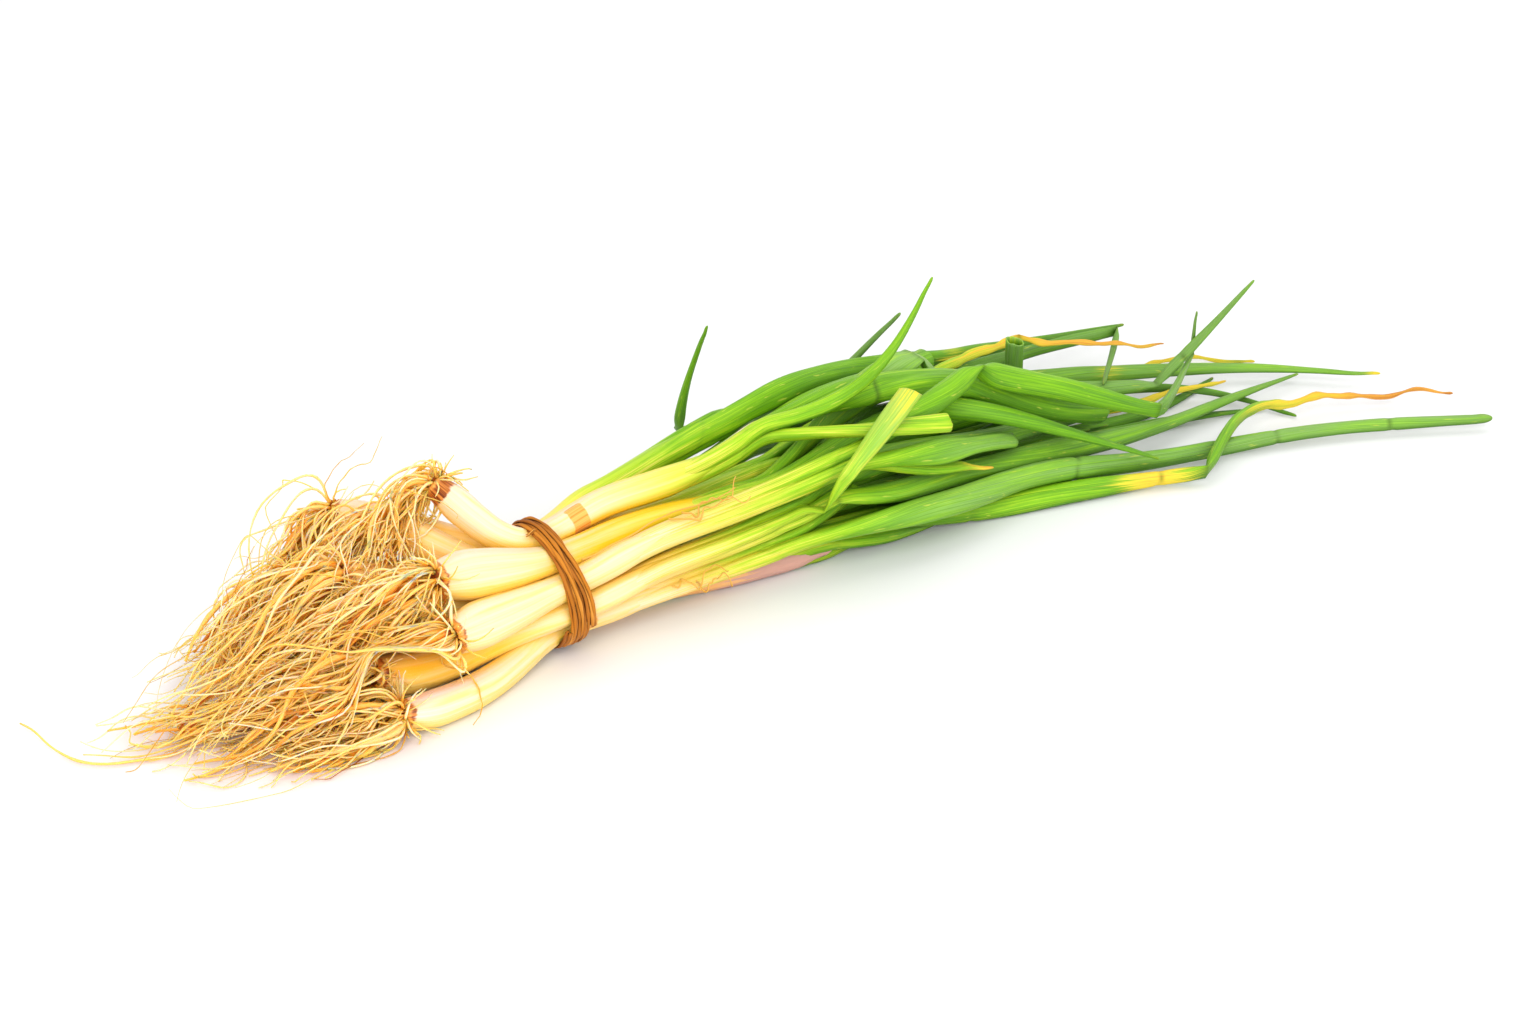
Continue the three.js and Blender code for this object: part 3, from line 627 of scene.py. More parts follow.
def tie_material():
    paint = Paint("tie", 0.6, 0.04, 0.6)
    fine = paint.streaks(5.0, 2.2)
    tone = paint.mark("tone", (fine, 0.8))
    # Painted shade: dark brown deep in the gaps between the fibres.
    painted_gap_shade = (paint.product(paint.hidden(2.5), 0.85), colour("4a1c08"))
    base = paint.layered(paint.ramp(tone, TIE_COLOURS), painted_gap_shade)
    rough = paint.spread(fine, 0.3, 0.7, 0.45, 0.75)
    return paint.finish({"Base Color": base, "Roughness": rough, "Normal": paint.bump(fine, 0.8, 0.2)})


LEAF, STEM, ROOT, TIE = leaf_material(), stem_material(), root_material(), tie_material()


# ---- Stems ----
class Stem:
    """A stem's middle line, from the root plate to the fork, with what grows from it."""

    def __init__(self, number):
        rows = strand(f"onion_{number}_stem", "stem")
        if rows[0, 0] > rows[-1, 0]:
            rows = rows[::-1]
        self.number = number
        self.look = USUAL_STEM | STEMS[number]
        self.rows = curve(smooth(rows, 2, (0, 1, -2, -1)), STEM_STEP)
        self.points = self.rows[:, :3]
        self.at = stations(self.points)
        self.length = self.at[-1]
        self.heading, self.side, self.top = frames(self.points, (0, 0, 1))
        self.plate = self.points[0]
        self.outward = -self.heading[0]
        self.bulb = self.rows[:12, 3].max()
        self.tied = self.at[np.linalg.norm(self.points - HUB, axis=1).argmin()]
        fuller = self.look["swell"] * bell(self.at - 20, 13)
        fuller += self.look["full"] * ease(self.tied + 12, self.tied + 30, self.at)
        self.rows[:, 3] *= 1 + fuller
        self.lobes = self.station(self.look["lobes"])

    def station(self, share):
        """How far along the stem a share of the way from the tie to the fork lies."""
        return self.tied + share * (self.length - self.tied)

    def off_skin(self, at, turn, out):
        """Points along the stem, out of its skin at that angle round it."""
        spots, side, top = (read_off(rows, self.at, at) for rows in (self.points, self.side, self.top))
        reach = np.interp(at, self.at, self.rows[:, 3]) + out
        return spots + turned(side, top, turn) * reach[:, None]


def stem_tone(stem, at):
    """Colour along a stem: white to the tie, then yellow, and green by the fork."""
    past = (at - stem.tied) / (stem.length - stem.tied)
    pale = stem.look["pale"]
    tone = 0.07 + 0.08 * ease(-1.2, 0.1, past)
    tone += 0.22 * ease(pale, pale + 0.5, past) + 0.21 * ease(pale + 0.25, 1.0, past)
    return tone + stem.look["tint"] * ease(-0.1, 0.5, past)


def stem_profile(stem):
    """A rounded end round the root plate, then the stem, then an end hidden among the leaves."""
    under = np.array([(-2.1, 0.30), (-1.9, 0.52), (-1.5, 0.68), (-0.9, 0.84), (-0.4, 0.93)])
    over = np.array([(1.5, 0.55), (3.0, 0.4), (4.5, 0.2)])
    before = stem.plate + stem.outward * -under[:, :1]
    after = stem.points[-1] + stem.heading[-1] * over[:, :1]
    middle = np.vstack([before, stem.points, after])
    waist = 1 - WAIST * ease(stem.lobes + 2, stem.lobes + 28, stem.at)
    waist -= 0.12 * ease(stem.length - 14, stem.length, stem.at)
    ends = under[:, 1] * stem.rows[0, 3], over[:, 1] * stem.rows[-1, 3]
    radius = np.concatenate([ends[0], stem.rows[:, 3] * waist, ends[1]])
    at = np.concatenate([under[:, 0], stem.at, stem.length + over[:, 0]])
    extra = ((len(under), len(over)), (0, 0))
    side = np.pad(stem.side, extra, mode="edge")
    top = np.pad(stem.top, extra, mode="edge")
    return middle, side, top, radius, at


def stem_shape(stem, rng, at, past, radius, angle):
    """How far out the skin is: not quite round, and wrinkled and puffed where it is papery."""
    shape = np.broadcast_to(radius[:, None], (len(at), STEM_SIDES)).copy()
    for lobes in (2, 3, 5, 9):
        drift = waves(rng, at, 160, 2)[:, None] * 0.5
        shape *= 1 + 0.028 / lobes**0.5 * np.sin(lobes * angle + rng.uniform(0, CIRCLE) + drift)
    if stem.look["papery"]:
        wrinkle = np.sin(13 * angle + 2 * waves(rng, at, 40)[:, None]) + np.sin(21 * angle)
        puffed = (ease(0.35, 0.7, past) * ease(1.0, 0.9, past))[:, None]
        shape += 0.12 * (ease(0.2, 0.5, past)[:, None] * wrinkle) + 1.3 * puffed
    return shape


def add_sheaths(stem, rng, at, shape, angle):
    """Lets the edges of the outer layers stand out, and gives where their lines are."""
    seam = np.zeros_like(shape)
    body = ease(2, 12, at) * (1 - 0.7 * ease(stem.lobes + 4, stem.lobes + 30, at))
    for _ in range(SHEATHS):
        edge = rng.uniform(0, CIRCLE) + rng.uniform(-0.9, 0.9) * at / stem.length
        edge += 0.12 * waves(rng, at, 70)
        off = (angle - edge[:, None]) % CIRCLE
        shape += SHEATH_STEP * body[:, None] * np.clip(1 - off / rng.uniform(1.2, 2.2), 0, 1)
        line = bell(wrapped(angle - edge[:, None] + 0.06), 0.11)
        seam = np.maximum(seam, body[:, None] * line)
    return seam


def stem_marks(stem, at, past, angle, seam):
    look = stem.look
    patch = 0.7 * bell(at + 1.0, 2.6)[:, None] * np.ones_like(angle)
    if "patch" in look:
        share, reach = look["patch"]
        near = ease(1.5, 1.1, np.abs(wrapped(angle - 0.75)))
        along = ease(reach + 0.8, reach - 0.8, np.abs(at - stem.station(share)))
        patch = np.maximum(patch, 1.1 * along[:, None] * near)
    crown_end = look["crown"] + 0.25 * np.sin(3 * angle) + 0.4 * np.sin(angle + 1)
    warm = look["warm"] * ease(-0.3, 0.2, past) * (1 - 0.8 * ease(0.55, 0.95, past))
    return {
        "tone": stem_tone(stem, at),
        "seam": seam,
        # Besides the stem's own yellow, this mark carries the gold painted as shade on bulbs that lie in
        # shade.
        "warm": warm + look["gold_shade"] * ease(0.95, 0.45, at / stem.tied),
        "papery": look["papery"] * (0.8 * ease(-0.05, 0.2, past) + 0.4 * ease(0.5, 0.85, past)),
        "patch": patch,
        "crown": ease(crown_end + 0.9, crown_end - 0.9, at[:, None]),
    }


def add_straws(skin, stem, rng):
    for first, last, turn, lift, curl in STRAWS.get(stem.number, ()):
        t = np.linspace(0, 1, 90)
        at = stem.station(first + (last - first) * t)
        sway = turn + 0.10 * curl * waves(rng, t, 0.7)
        out = 1.7 + lift * t**3 + 0.25 * curl * waves(rng, t, 0.5)
        path = stem.off_skin(np.minimum(at, stem.length), sway, np.maximum(out, 0.2))
        path += stem.heading[-1] * np.maximum(at - stem.length, 0)[:, None]
        path += 0.8 * curl * ease(0.4, 1, t)[:, None] * wander(rng, t, 0.9, 1)
        thread(skin, path, STRAW_RADIUS - 0.16 * t, patch=2.0, tone=0.3)


def dress_stem(stem):
    rng = np.random.default_rng(100 + int(stem.number))
    angle = turns_of(STEM_SIDES)
    middle, side, top, radius, at = stem_profile(stem)
    past = (at - stem.tied) / (stem.length - stem.tied)
    shape = stem_shape(stem, rng, at, past, radius, angle)
    seam = add_sheaths(stem, rng, at, shape, angle)
    if not stem.look["papery"]:
        shape = np.minimum(shape - 0.5 * SHEATH_STEP, radius[:, None] * 1.03 + 0.12)
    skin = Skin("tone", "seam", "warm", "papery", "patch", "crown")
    rings = round_about(side, top, shape, shape, angle)
    skin.tube(middle, rings, at, stem_marks(stem, at, past, angle, seam))
    add_straws(skin, stem, rng)
    skin.dress(f"onion_{stem.number}_stem", f"stem_{stem.number}", STEM, "stem")


# ---- Leaves ----
def lobe_line(stem, base, twist):
    """Where a leaf runs inside its stem, up to just short of the fork."""
    out = base - stem.points[-1]
    turn = math.atan2(out @ stem.top[-1], out @ stem.side[-1])
    within = (stem.at > stem.lobes) & (stem.at < stem.length - 5)
    down = (stem.length - stem.at[within]) / (stem.length - stem.lobes)
    way = turned(stem.side[within], stem.top[within], turn + twist * down)
    off = LOBE_SPREAD[1] + (LOBE_SPREAD[0] - LOBE_SPREAD[1]) * down[:, None]
    every_fifth = slice(None, None, 5)
    return (stem.points[within] + way * off)[every_fifth]


def leaf_turn(heading, side, top, wanted):
    """How far to turn the directions across a leaf so that its wide side lies as wanted."""
    level = unit(np.cross(heading, (0, 0, 1.0)))
    over = np.cross(level, heading)
    way = turned(level, over, wanted)
    turn = np.unwrap(2 * np.arctan2((way * top).sum(axis=1), (way * side).sum(axis=1))) / 2
    return turn - math.pi * np.round(turn[0] / math.pi)


def pinch(offsets, points, heading, at, corners):
    """A fold flattens the leaf in the plane that it bends in, and widens it across."""
    crease = np.zeros_like(at)
    for i in corners:
        before, after = unit(points[i] - points[i - 1]), unit(points[i + 1] - points[i])
        hinge = unit(np.cross(before, after))
        near = bell(at - at[i], FOLD_REACH)[:, None, None]
        within = unit(np.cross(hinge, heading))[:, None]
        offsets += within * (offsets * within).sum(axis=-1, keepdims=True) * (-0.72 * near)
        offsets += hinge * (offsets * hinge).sum(axis=-1, keepdims=True) * (0.14 * near)
        crease = np.maximum(crease, 0.55 * bell(at - at[i], 1.0))
    return crease


def closed_tip(points, offsets, heading, length):
    """Rings past the end that round it off."""
    t = np.array([0.35, 0.65, 0.85, 0.96])
    caps = offsets[-1] * np.sqrt(1 - t**2)[:, None, None]
    points = np.vstack([points, points[-1] + heading[-1] * t[:, None] * length])
    return points, np.concatenate([offsets, caps])


def open_tip(points, offsets, heading, rng, angle):
    """An end cut at a slant. Its lip turns in, and the wall runs back down inside the leaf."""
    size = np.linalg.norm(offsets[-1], axis=-1, keepdims=True)
    slant = size * (0.35 * np.cos(angle[0] - rng.uniform(0, CIRCLE)))[:, None]
    slant = slant + 0.12 * rng.standard_normal(size.shape)
    rings = []
    for depth, wall, _ in MOUTH:
        rings.append(offsets[-1] * (1 - wall / size) + heading[-1] * slant * (depth > -1))
    offsets = offsets.copy()
    offsets[-1] += heading[-1] * slant
    points = np.vstack([points, [points[-1] + heading[-1] * depth for depth, _, _ in MOUTH]])
    return points, np.concatenate([offsets, rings])


def leaf_line(stem, node, rng):
    """A leaf's line from inside its stem on, with its stations from the fork, and if its end is cut."""
    rows = strand(node, "leaf")
    fork = stem.points[-1]
    if np.linalg.norm(rows[0, :3] - fork) > np.linalg.norm(rows[-1, :3] - fork):
        rows = rows[::-1]
    cut = rows[-1, 3] > 0.8 * rows[:, 3].max()
    corners = folds(rows[:, :3])
    rows = smooth(rows, 2, (0, -1, *corners))
    base = rows[0, :3]
    inner = lobe_line(stem, base, math.radians(rng.uniform(-20, 20)))
    inner = np.column_stack([inner, np.full(len(inner), rows[0, 3])])
    before = stations(np.vstack([inner[:, :3], base]))[-1]
    rows, corners = folded_curve(np.vstack([inner, rows]), [i + len(inner) for i in corners], LEAF_STEP)
    points, radius = rows[:, :3], rows[:, 3]
    return points, radius, stations(points) - before, frames(points, base - fork), corners, cut


def leaf_rings(look, rng, at, radius, ways, angle):
    """Wide and thin where the leaves press on each other in the stem, then with its own lie."""
    heading, side, top = ways
    free = ease(-4, 34, at)
    flat = look.get("flat", rng.uniform(0.74, 0.92))
    own_wide = radius * (1.04 + 0.2 * (1 - flat)) * (1 + 0.03 * waves(rng, at, 60, 2))
    own_thick = radius * flat * (1 + 0.03 * waves(rng, at, 45, 2))
    wide = LOBE_WIDE + (np.maximum(own_wide, LOBE_WIDE * (1 - ease(20, 60, at))) - LOBE_WIDE) * free
    wide *= 1 - look["slim"] * bell(at - 5, 30)
    thick = LOBE_THICK + (np.maximum(own_thick, LOBE_THICK * (1 - ease(10, 50, at))) - LOBE_THICK) * free
    lie = math.radians(look.get("turn", rng.uniform(-80, -15))) + 0.3 * waves(rng, at, 160, 2)
    turn = leaf_turn(heading, side, top, lie) * ease(0, 50, at)
    across, over = turned(side, top, turn), turned(top, -side, turn)
    offsets = round_about(across, over, wide[:, None], thick[:, None], angle)
    for sign in (-1, 1):
        dent = rng.uniform(0.08, 0.24) * free * ease(-0.3, 1.0, waves(rng, at, 120, 2))
        off = wrapped(angle - sign * math.pi / 2 - 0.5 * waves(rng, at, 150, 1)[:, None])
        offsets *= (1 - dent[:, None] * bell(off, 0.5))[..., None]
    for lobes in (5, 9):
        phase = rng.uniform(0, CIRCLE) + 0.002 * at[:, None]
        offsets *= (1 + 0.012 * np.sin(lobes * angle + phase))[..., None]
    return offsets


def leaf_dryness(look, at, cut):
    dry = np.zeros_like(at)
    for share, reach, strength in look["dry"]:
        dry += strength * bell(at - share * at[-1], reach)
    if not cut:
        dry += 0.3 * bell(at - at[-1], 3)
    return dry


def leaf_tone(look, rng, stem, at):
    """Colour along a leaf, which goes on from its stem's."""
    tint = look.get("tint", rng.uniform(-0.04, 0.05))
    own = rng.uniform(-0.05, 0.03) * (1 - ease(-10, 20, at))
    tone = stem_tone(stem, stem.length + np.minimum(at, 0)) + own
    return tone + (0.1 * ease(-6, 40, at) + 0.1 * ease(30, 150, at) + tint * ease(0, 30, at))


def dress_leaf(name, stem):
    rng = np.random.default_rng(int(name[:2]) * 10 + "abc".index(name[2]))
    look = USUAL_LEAF | LEAVES[name]
    node = f"onion_{name[:2]}_leaf_{name[2]}"
    points, radius, at, ways, corners, cut = leaf_line(stem, node, rng)
    heading, share, angle = ways[0], at / at[-1], turns_of(LEAF_SIDES)
    radius = radius * look["broad"] * (1 - 0.14 * ease(70, 190, at))
    radius *= 1 - look["thin"] * ease(0.35, 0.7, share)
    offsets = leaf_rings(look, rng, at, radius, ways, angle)

    # The edge of the skin that the leaf comes out of runs round it at a slant.
    edge = look.get("edge", rng.uniform(-14, 3)) + 4 * np.cos(angle - rng.uniform(0, CIRCLE))
    edge += look["collar"] * (1.5 * np.sin(5 * angle) + np.sin(9 * angle))
    under = ease(edge + 1.2, edge - 1.2, at[:, None])
    offsets += unit(offsets) * (0.22 * under * ease(-34, -16, at)[:, None])[..., None]
    crease = look["fold"] * pinch(offsets, points, heading, at, corners)[:, None]
    crease = np.maximum(crease, 0.18 * bell(at[:, None] - edge, 0.9))
    for place in look["crease"]:
        off = at[:, None] - (place * at[-1] + 0.8 * np.cos(angle + rng.uniform(0, CIRCLE)))
        crease = np.maximum(crease, 0.8 * bell(off, 0.6))
        offsets *= (1 - 0.1 * bell(off, 1.2))[..., None]

    # A withered stretch shrinks, and where it is thin it also goes wavy.
    dry = leaf_dryness(look, at, cut)
    offsets *= (1 - 0.22 * np.clip(dry, 0, 1))[:, None, None]
    wavy = np.clip(dry, 0, 1) * ease(0, 20, at)
    wavy *= ease(2.4, 1.5, radius)
    points = points + 0.7 * wavy[:, None] * wander(rng, at, 36, 2)
    offsets *= (1 + 0.2 * wavy * waves(rng, at, 14, 2))[:, None, None]

    grey = look["grey"] * ease(8, 60, at) + 0.12 * ease(90, 240, at)
    marks = {
        "tone": leaf_tone(look, rng, stem, at)[:, None] - 0.14 * look["collar"] * under,
        "grey": grey + look["bloom"] * ease(0.68, 0.85, share),
        "dry": dry,
        "crease": crease,
        "papery": look["collar"] * under * bell(at - edge.mean() + 6, 9)[:, None],
    }
    if cut:
        points, offsets = open_tip(points, offsets, heading, rng, angle)
    else:
        points, offsets = closed_tip(points, offsets, heading, 2.6 * radius[-1])
    extra = len(points) - len(at)
    for key, values in marks.items():
        marks[key] = np.concatenate([values, np.repeat(values[-1:], extra, axis=0)])
    if cut:
        marks["tone"][-extra:] += [[tone] for _, _, tone in MOUTH]
    skin = Skin(*marks)
    skin.tube(points, offsets, np.pad(at, (0, extra), mode="edge"), marks)
    skin.dress(node, f"leaf_{name}", LEAF, "dry_leaf" if name in DRY_LEAVES else "leaf")


# ---- Roots ----
# The way that roots are pushed over a bulb, and the way that the bunch is seen from.
SWEEP = unit(np.array([0.1, 0.47, 0.88]))
NEAR = unit(np.array([-0.3, -0.82, 0.49]))


def off_bulbs(bulbs, spot):
    """A point, moved out of any bulb that it is in or too near to."""
    here = Vector(spot * MM)
    near, normal, _, away = bulbs.find_nearest(here, BULB_SEARCH * MM)
    if near is None or ((here - near).dot(normal) > 0 and away > ROOT_GAP * MM):
        return spot
    return np.array(near + normal * (ROOT_GAP * MM)) / MM


def in_room(path):
    """The path, drawn in where it would leave its room."""
    path[:, 2] = np.maximum(path[:, 2], ROOM[0, 2])
    for k in (0, 1):
        for sign, edge in ((-1, ROOM[0, k]), (1, ROOM[1, k])):
            past = sign * (path[:, k] - edge) + ROOM_MARGIN
            held = np.where(past > 0, ROOM_MARGIN * np.tanh(past / ROOM_MARGIN), past)
            path[:, k] = edge + sign * (held - ROOM_MARGIN)
    return path


def grown(rng, start, way, guide, reach, spray, curl, bulbs, hold, pull, drop=0.0):
    """A root's path. It makes for a line the spray's width off its guide, and wanders and kinks."""
    line_at = stations(guide)
    beyond = unit(guide[-1] - guide[-3]) * (1, 1, 0.3)

    def target(at, share):
        """The point that far along the guide or past its end, with that share of the spray."""
        past = beyond * max(at - line_at[-1], 0)
        return read_off(guide, line_at, at)[0] + (past + spray * share)

    drift, path, gone = np.zeros(3), [start], 0.0
    while gone < reach:
        ahead = gone + ROOT_LEAD
        mark = target(ahead, ease(0, 50, ahead))
        mark[2] -= drop * bell(ahead - 18, 22)
        drift = 0.72 * drift + curl * rng.normal(0, ROOT_DRIFT, 3)
        if rng.random() < KINK_CHANCE:
            drift += curl * rng.normal(0, KINK, 3)
        bend = hold * ease(0, 12, gone + 2)
        way = unit(way + bend * (unit(mark - path[-1]) - way) + drift)
        spot = off_bulbs(bulbs, path[-1] + way * ROOT_STEP)
        spot[2] = np.clip(spot[2], ROOM[0, 2], ROOM[1, 2])
        path.append(spot)
        gone += ROOT_STEP
    path = smooth(np.array(path), 1)
    at = stations(path)
    path += (target(at[-1], 1.0) - path[-1]) * (pull * ease(0.1, 1.0, at / at[-1]))[:, None]
    return in_room(path)


def swept_over(path, stem):
    """Lifts a root that would hang down before another onion's bulb."""
    axes = np.column_stack([stem.heading[0], SWEEP, NEAR])
    along, over, _ = np.linalg.inv(axes) @ (path - stem.plate).T
    low = stem.bulb + 1.6 - over
    held = np.where((low > 0) & (low < 3.2 * stem.bulb + 6), low, 0)
    held *= ease(-7, 0, along) * ease(34, 24, along)
    return path + SWEEP * held[:, None]


def add_root(skin, rng, path, radius, shade, sides):
    t = np.linspace(0, 1, len(path))
    size = radius * (1 - ROOT_TAPER * t**1.3) * (1 + 0.12 * waves(rng, t, 0.2))
    tone = shade + 0.16 * t + 0.4 * bell(t * len(path), 2.0)
    thread(skin, path, size, sides, rng.uniform(0, 900), tone=tone)


class Tuft:
    """An onion's root plate and roots, gathered into one skin."""

    def __init__(self, stem, bulbs):
        self.stem, self.bulbs = stem, bulbs
        self.rng = np.random.default_rng(500 + int(stem.number))
        self.skin = Skin("tone")
        self.node = f"onion_{stem.number}_roots"
        self.across = unit(np.cross(stem.outward, (0, 0, 1.0)))
        self.other = np.cross(self.across, -stem.outward)
        self.plate = PLATE_SHARE * stem.bulb
        self.seat = stem.plate + stem.outward * 2.0
        self.guides = [curve(line, 3.0) for line in lock_lines(self.node, self.seat)]
        self.guides.sort(key=lambda line: stations(line)[-1])
        self.droop = DROOP.get(stem.number, USUAL_DROOP)

    def add_plate(self):
        """A rough low dome."""
        angle = turns_of(PLATE_SIDES)
        heights = np.array([1.1, 0.9, 0.5, 0.0, -0.6])
        sizes = np.array([0.3, 0.62, 0.92, 1.07, 0.98]) * self.plate
        grid = (len(heights), PLATE_SIDES)
        rough = sizes[:, None] * (1 + 0.12 * self.rng.standard_normal(grid))
        ways = (np.repeat(way[None], len(heights), 0) for way in (self.across, self.other))
        rings = round_about(*ways, rough, rough, angle)
        middle = self.seat + self.stem.outward * (heights[:, None] - 0.4)
        tone = 1.1 + 0.15 * self.rng.standard_normal(grid)
        self.skin.tube(middle, rings, heights * 30, {"tone": tone})

    def add_far_roots(self):
        guide = self.guides.pop()
        for spray, share, radius in FAR_ROOTS:
            reach = stations(guide)[-1] * share
            start = self.seat, self.stem.outward
            path = grown(self.rng, *start, guide, reach, np.array(spray), 0.35, self.bulbs, 0.35, 0.85)
            add_root(self.skin, self.rng, path, radius, 0.5, 5)

    def add_root(self, kind, over):
        """One root of that kind, laid over the bulb of the stem given, if any."""
        rng, outward = self.rng, self.stem.outward
        guide = self.guides[rng.integers(len(self.guides))]
        whole = stations(guide)[-1] * LONGER.get(self.stem.number, 1.0)
        turn, ring = rng.uniform(0, CIRCLE), math.sqrt(rng.uniform(0.05, 1))
        if kind is KINDS["fringe"]:
            whole, ring = 1, rng.uniform(0.85, 1.0)
        spoke = self.across * math.cos(turn) + self.other * math.sin(turn)
        start = self.seat + spoke * ring * self.plate * 0.95 - outward * (0.4 + 0.6 * ring)
        lean = ring * rng.uniform(*kind.lean)
        way = unit(outward * math.cos(lean) + spoke * math.sin(lean) - (0, 0, self.droop))
        spray = rng.normal(0, 1, 3) * kind.spray
        reach = whole * rng.uniform(*kind.reach)
        curl = drawn(rng, kind.curl)
        radius = kind.radius * rng.uniform(*kind.vary)
        held = self.bulbs, kind.hold, kind.pull, 12 * self.droop
        path = grown(rng, start, way, guide, reach, spray, curl, *held)
        if over is not None:
            path = smooth(swept_over(path, over), 3)
        shade = np.clip(rng.normal(0.3, 0.15), 0.02, 0.8) + kind.shade
        add_root(self.skin, rng, path, radius, shade, kind.sides)


def grow_tuft(stem, bulbs, over):
    tuft = Tuft(stem, bulbs)
    tuft.add_plate()
    if stem.number == FAR_ONION:
        tuft.add_far_roots()
    for name, kind in KINDS.items():
        more = MORE_ROOTS.get(stem.number, 0) if name == "root" else 0
        for _ in range(kind.count + more):
            tuft.add_root(kind, over)
    return tuft


# ---- The tie ----
def closer_turns(line, axis):
    """The tie's line with its turns drawn together, most on top of the bunch."""
    off = line - HUB
    along = off @ axis
    round_it = off - along[:, None] * axis
    level = unit(np.cross(axis, (0, 0, 1.0)))
    angle = np.unwrap(np.arctan2(round_it[:, 2], round_it @ -level))
    turn = (angle - angle[0]) / (angle[-1] - angle[0]) - 0.5
    terms = np.column_stack([np.ones_like(angle), np.sin(angle), np.cos(angle), turn])
    fit = np.linalg.lstsq(terms, along, rcond=None)[0]
    drawn_in = 0.86 - 0.4 * ease(0.1, 1.0, np.sin(angle))
    out = 0.55 * np.cos(math.pi * 4 * turn + 0.6) * ease(0.0, 1.0, np.sin(angle))
    return line + (axis * ((drawn_in - 1) * fit[3] * turn)[:, None] + unit(round_it) * out[:, None])


def dress_tie():
    rng = np.random.default_rng(7)
    rows = strand("tie", "tie")
    axis = unit(rows[-1, :3] - rows[0, :3])
    axis *= np.sign(axis[0])
    line = closer_turns(curve(rows, 1.2)[:, :3], axis)
    at = stations(line)
    _, side, top = frames(line, line[0] - HUB)
    skin = Skin("tone")
    turns = turns_of(8)
    for k in range(TIE_FIBRES):
        turn = CIRCLE * (k / TIE_FIBRES + at / 90) + 0.3 * waves(rng, at, 60, 2)
        out = FIBRE_OFF + 0.08 * waves(rng, at, 25, 3)
        path = line + side * (out * np.cos(turn))[:, None] + top * (out * np.sin(turn))[:, None]
        size = (FIBRE_RADIUS * (1 + 0.16 * waves(rng, at, 14, 3)))[:, None]
        _, fibre_side, fibre_top = frames(path, line[0] - HUB)
        rings = round_about(fibre_side, fibre_top, size * 1.15, size * 0.85, turns)
        rings *= (1 + 0.12 * np.sin(3 * turns + at[:, None] * 0.4))[..., None]
        tone = 0.45 + 0.2 * k / TIE_FIBRES + 0.12 * waves(rng, at, 50, 2)
        skin.tube(path, rings, at * 2 + 11 * k, {"tone": tone})

    # A short twisted end at the top.
    peak = line[(line @ np.array([0, 0, 1.0]) - 3 * np.abs(line @ axis - HUB @ axis)).argmax()]
    for k in range(TIE_FIBRES):
        t = np.linspace(0, 1, 14)[:, None]
        twist = 5 * t + CIRCLE * k / TIE_FIBRES
        path = peak - axis * (TIE_END * t - 0.5) + np.array([0, -1.0, -1.2]) * t + np.array([0, 0, 0.3])
        path += 0.35 * (np.array([0, 1, 0]) * np.cos(twist) + np.array([0, 0, 1]) * np.sin(twist))
        thread(skin, path, 0.32 - 0.2 * t[:, 0], 5, tone=0.5 + 0.2 * k)
    skin.dress("tie", "tie_fibre", TIE, "tie")


# ---- The camera, which keeps its place about the tie ----
camera = added("camera", bpy.data.cameras.new("camera"))
level = math.cos(CAMERA_DOWN)
aim = Vector((math.sin(CAMERA_TURN) * level, math.cos(CAMERA_TURN) * level, -math.sin(CAMERA_DOWN)))
camera.location = (tie_low + tie_high) / 2 + Vector(CAMERA_FROM_TIE) * MM
camera.rotation_mode = "QUATERNION"
camera.rotation_quaternion = (-aim).to_track_quat("Z", "Y")
camera.data.lens = 70
camera.data.sensor_width = 36
camera.data.clip_start, camera.data.clip_end = 0.05, 50
bpy.context.scene.camera = camera

# ---- The onions ----
ROOM = np.array([cad_box[0], cad_box[1]]) / MM + ROOM_BEYOND
stems = [Stem(f"{i:02d}") for i in range(1, 13)]
for stem in stems:
    dress_stem(stem)
    for letter in "abc":
        if f"onion_{stem.number}_leaf_{letter}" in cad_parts:
            dress_leaf(stem.number + letter, stem)

corners, faces = [], []
for stem in stems:
    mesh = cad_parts[f"onion_{stem.number}_stem"].data
    first = len(corners)
    corners += [v.co.copy() for v in mesh.vertices]
    faces += [[first + v for v in polygon.vertices] for polygon in mesh.polygons]
bulbs = BVHTree.FromPolygons(corners, faces)
by_number = {stem.number: stem for stem in stems}
tufts = {}
for stem in stems:
    tufts[stem.number] = grow_tuft(stem, bulbs, by_number.get(OVER.get(stem.number)))


def beside(number, at, out, turn=0.25):
    """A point that far along a bulb and out of its skin, at that angle round it."""
    return by_number[number].off_skin(np.array([at]), np.array([turn]), out)[0]


def from_plate(number, *offsets):
    return [by_number[number].plate + offset for offset in offsets]


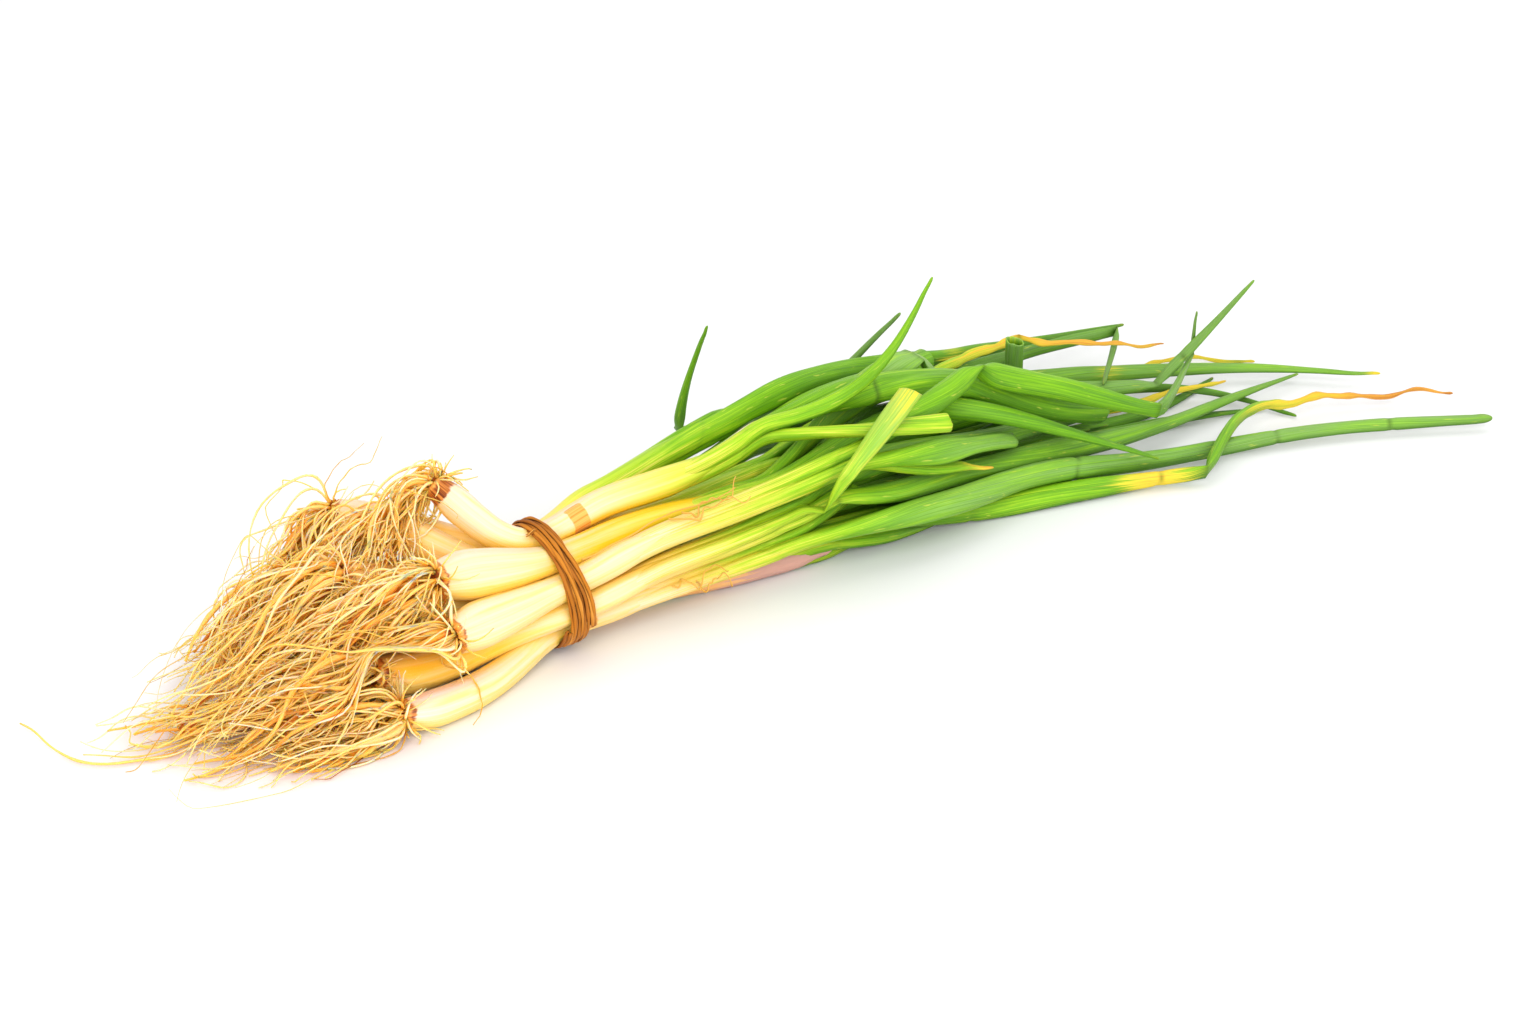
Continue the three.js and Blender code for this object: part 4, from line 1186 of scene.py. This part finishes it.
# Single roots that leave their tuft: which onion's, radius, shade, and points from its plate on. The
# first hangs over the two bulbs below its own, to the table. Others stand up or curl down.
HANGING = [
    beside("06", 20, 1.6, 0.6),
    beside("07", 22, 1.2, 1.1),
    beside("07", 21, 1.6, 0.0),
    beside("07", 16, 4) * (1, 1, 0.1),
]
STRAYS = [
    ("05", 0.34, 0.72, HANGING),
    ("02", 0.24, 0.7, from_plate("02", (0, 0, 7), (3, -1, 13), (11, -5, 19), (14, -6, 26))),
    ("02", 0.2, 0.8, from_plate("02", (-2, 0, 6), (-3, -1, 12), (2, -2, 18), (9, -4, 24))),
    ("01", 0.28, 0.8, from_plate("01", (-3, -1, 4), (-1, -1, 8), (2, -2, 6), (2, -2, 2))),
    ("01", 0.22, 0.7, from_plate("01", (-5, -2, 1), (-9, -4, 2), (-14, -4, 3))),
    ("03", 0.22, 0.85, from_plate("03", (-14, -8, -2), (-20, -9, 5), (-17, -11, 14), (-14, -12, 22))),
]
for number, radius, shade, points in STRAYS:
    rng = np.random.default_rng(900 + len(points))
    path = curve(np.array([tufts[number].seat, *points]), 1.5)
    path += 0.35 * wander(rng, stations(path), 17)
    path[:, 2] = np.maximum(path[:, 2], 0.4)
    add_root(tufts[number].skin, rng, path, radius, shade, 5)
for number, tuft in tufts.items():
    tuft.skin.dress(tuft.node, f"roots_{number}", ROOT, "roots")
dress_tie()


# ---- The floor and the light ----
def new_light(name, size, power, place):
    made = added(name, bpy.data.lights.new(name, "AREA"))
    made.data.shape = "DISK"
    made.data.size = size
    made.data.energy = power
    made.location = place
    made.rotation_mode = "QUATERNION"
    made.rotation_quaternion = (Vector(place) - Vector((0, 0, 0.02))).to_track_quat("Z", "Y")


floor_mesh = bpy.data.meshes.new("floor")
floor_mesh.from_pydata([(-6, -6, 0), (6, -6, 0), (6, 6, 0), (-6, 6, 0)], [], [(0, 1, 2, 3)])
floor = added("floor", floor_mesh)
floor.location = (0, 0, -0.0004)
floor_mesh.materials.append(Paint("floor", 0.9, 0.0, 1.0).finish({"Base Color": (0.8, 0.8, 0.8, 1)}))

world = bpy.data.worlds.new("studio")
world.use_nodes = True
world.node_tree.nodes["Background"].inputs[0].default_value = (1, 1, 1, 1)
world.node_tree.nodes["Background"].inputs[1].default_value = 0.9
bpy.context.scene.world = world
new_light("key", 1.6, 24, (-0.45, -1.3, 0.95))
new_light("fill", 1.6, 6, (0.6, 0.5, 1.4))
bpy.context.scene.view_settings.view_transform = "Standard"
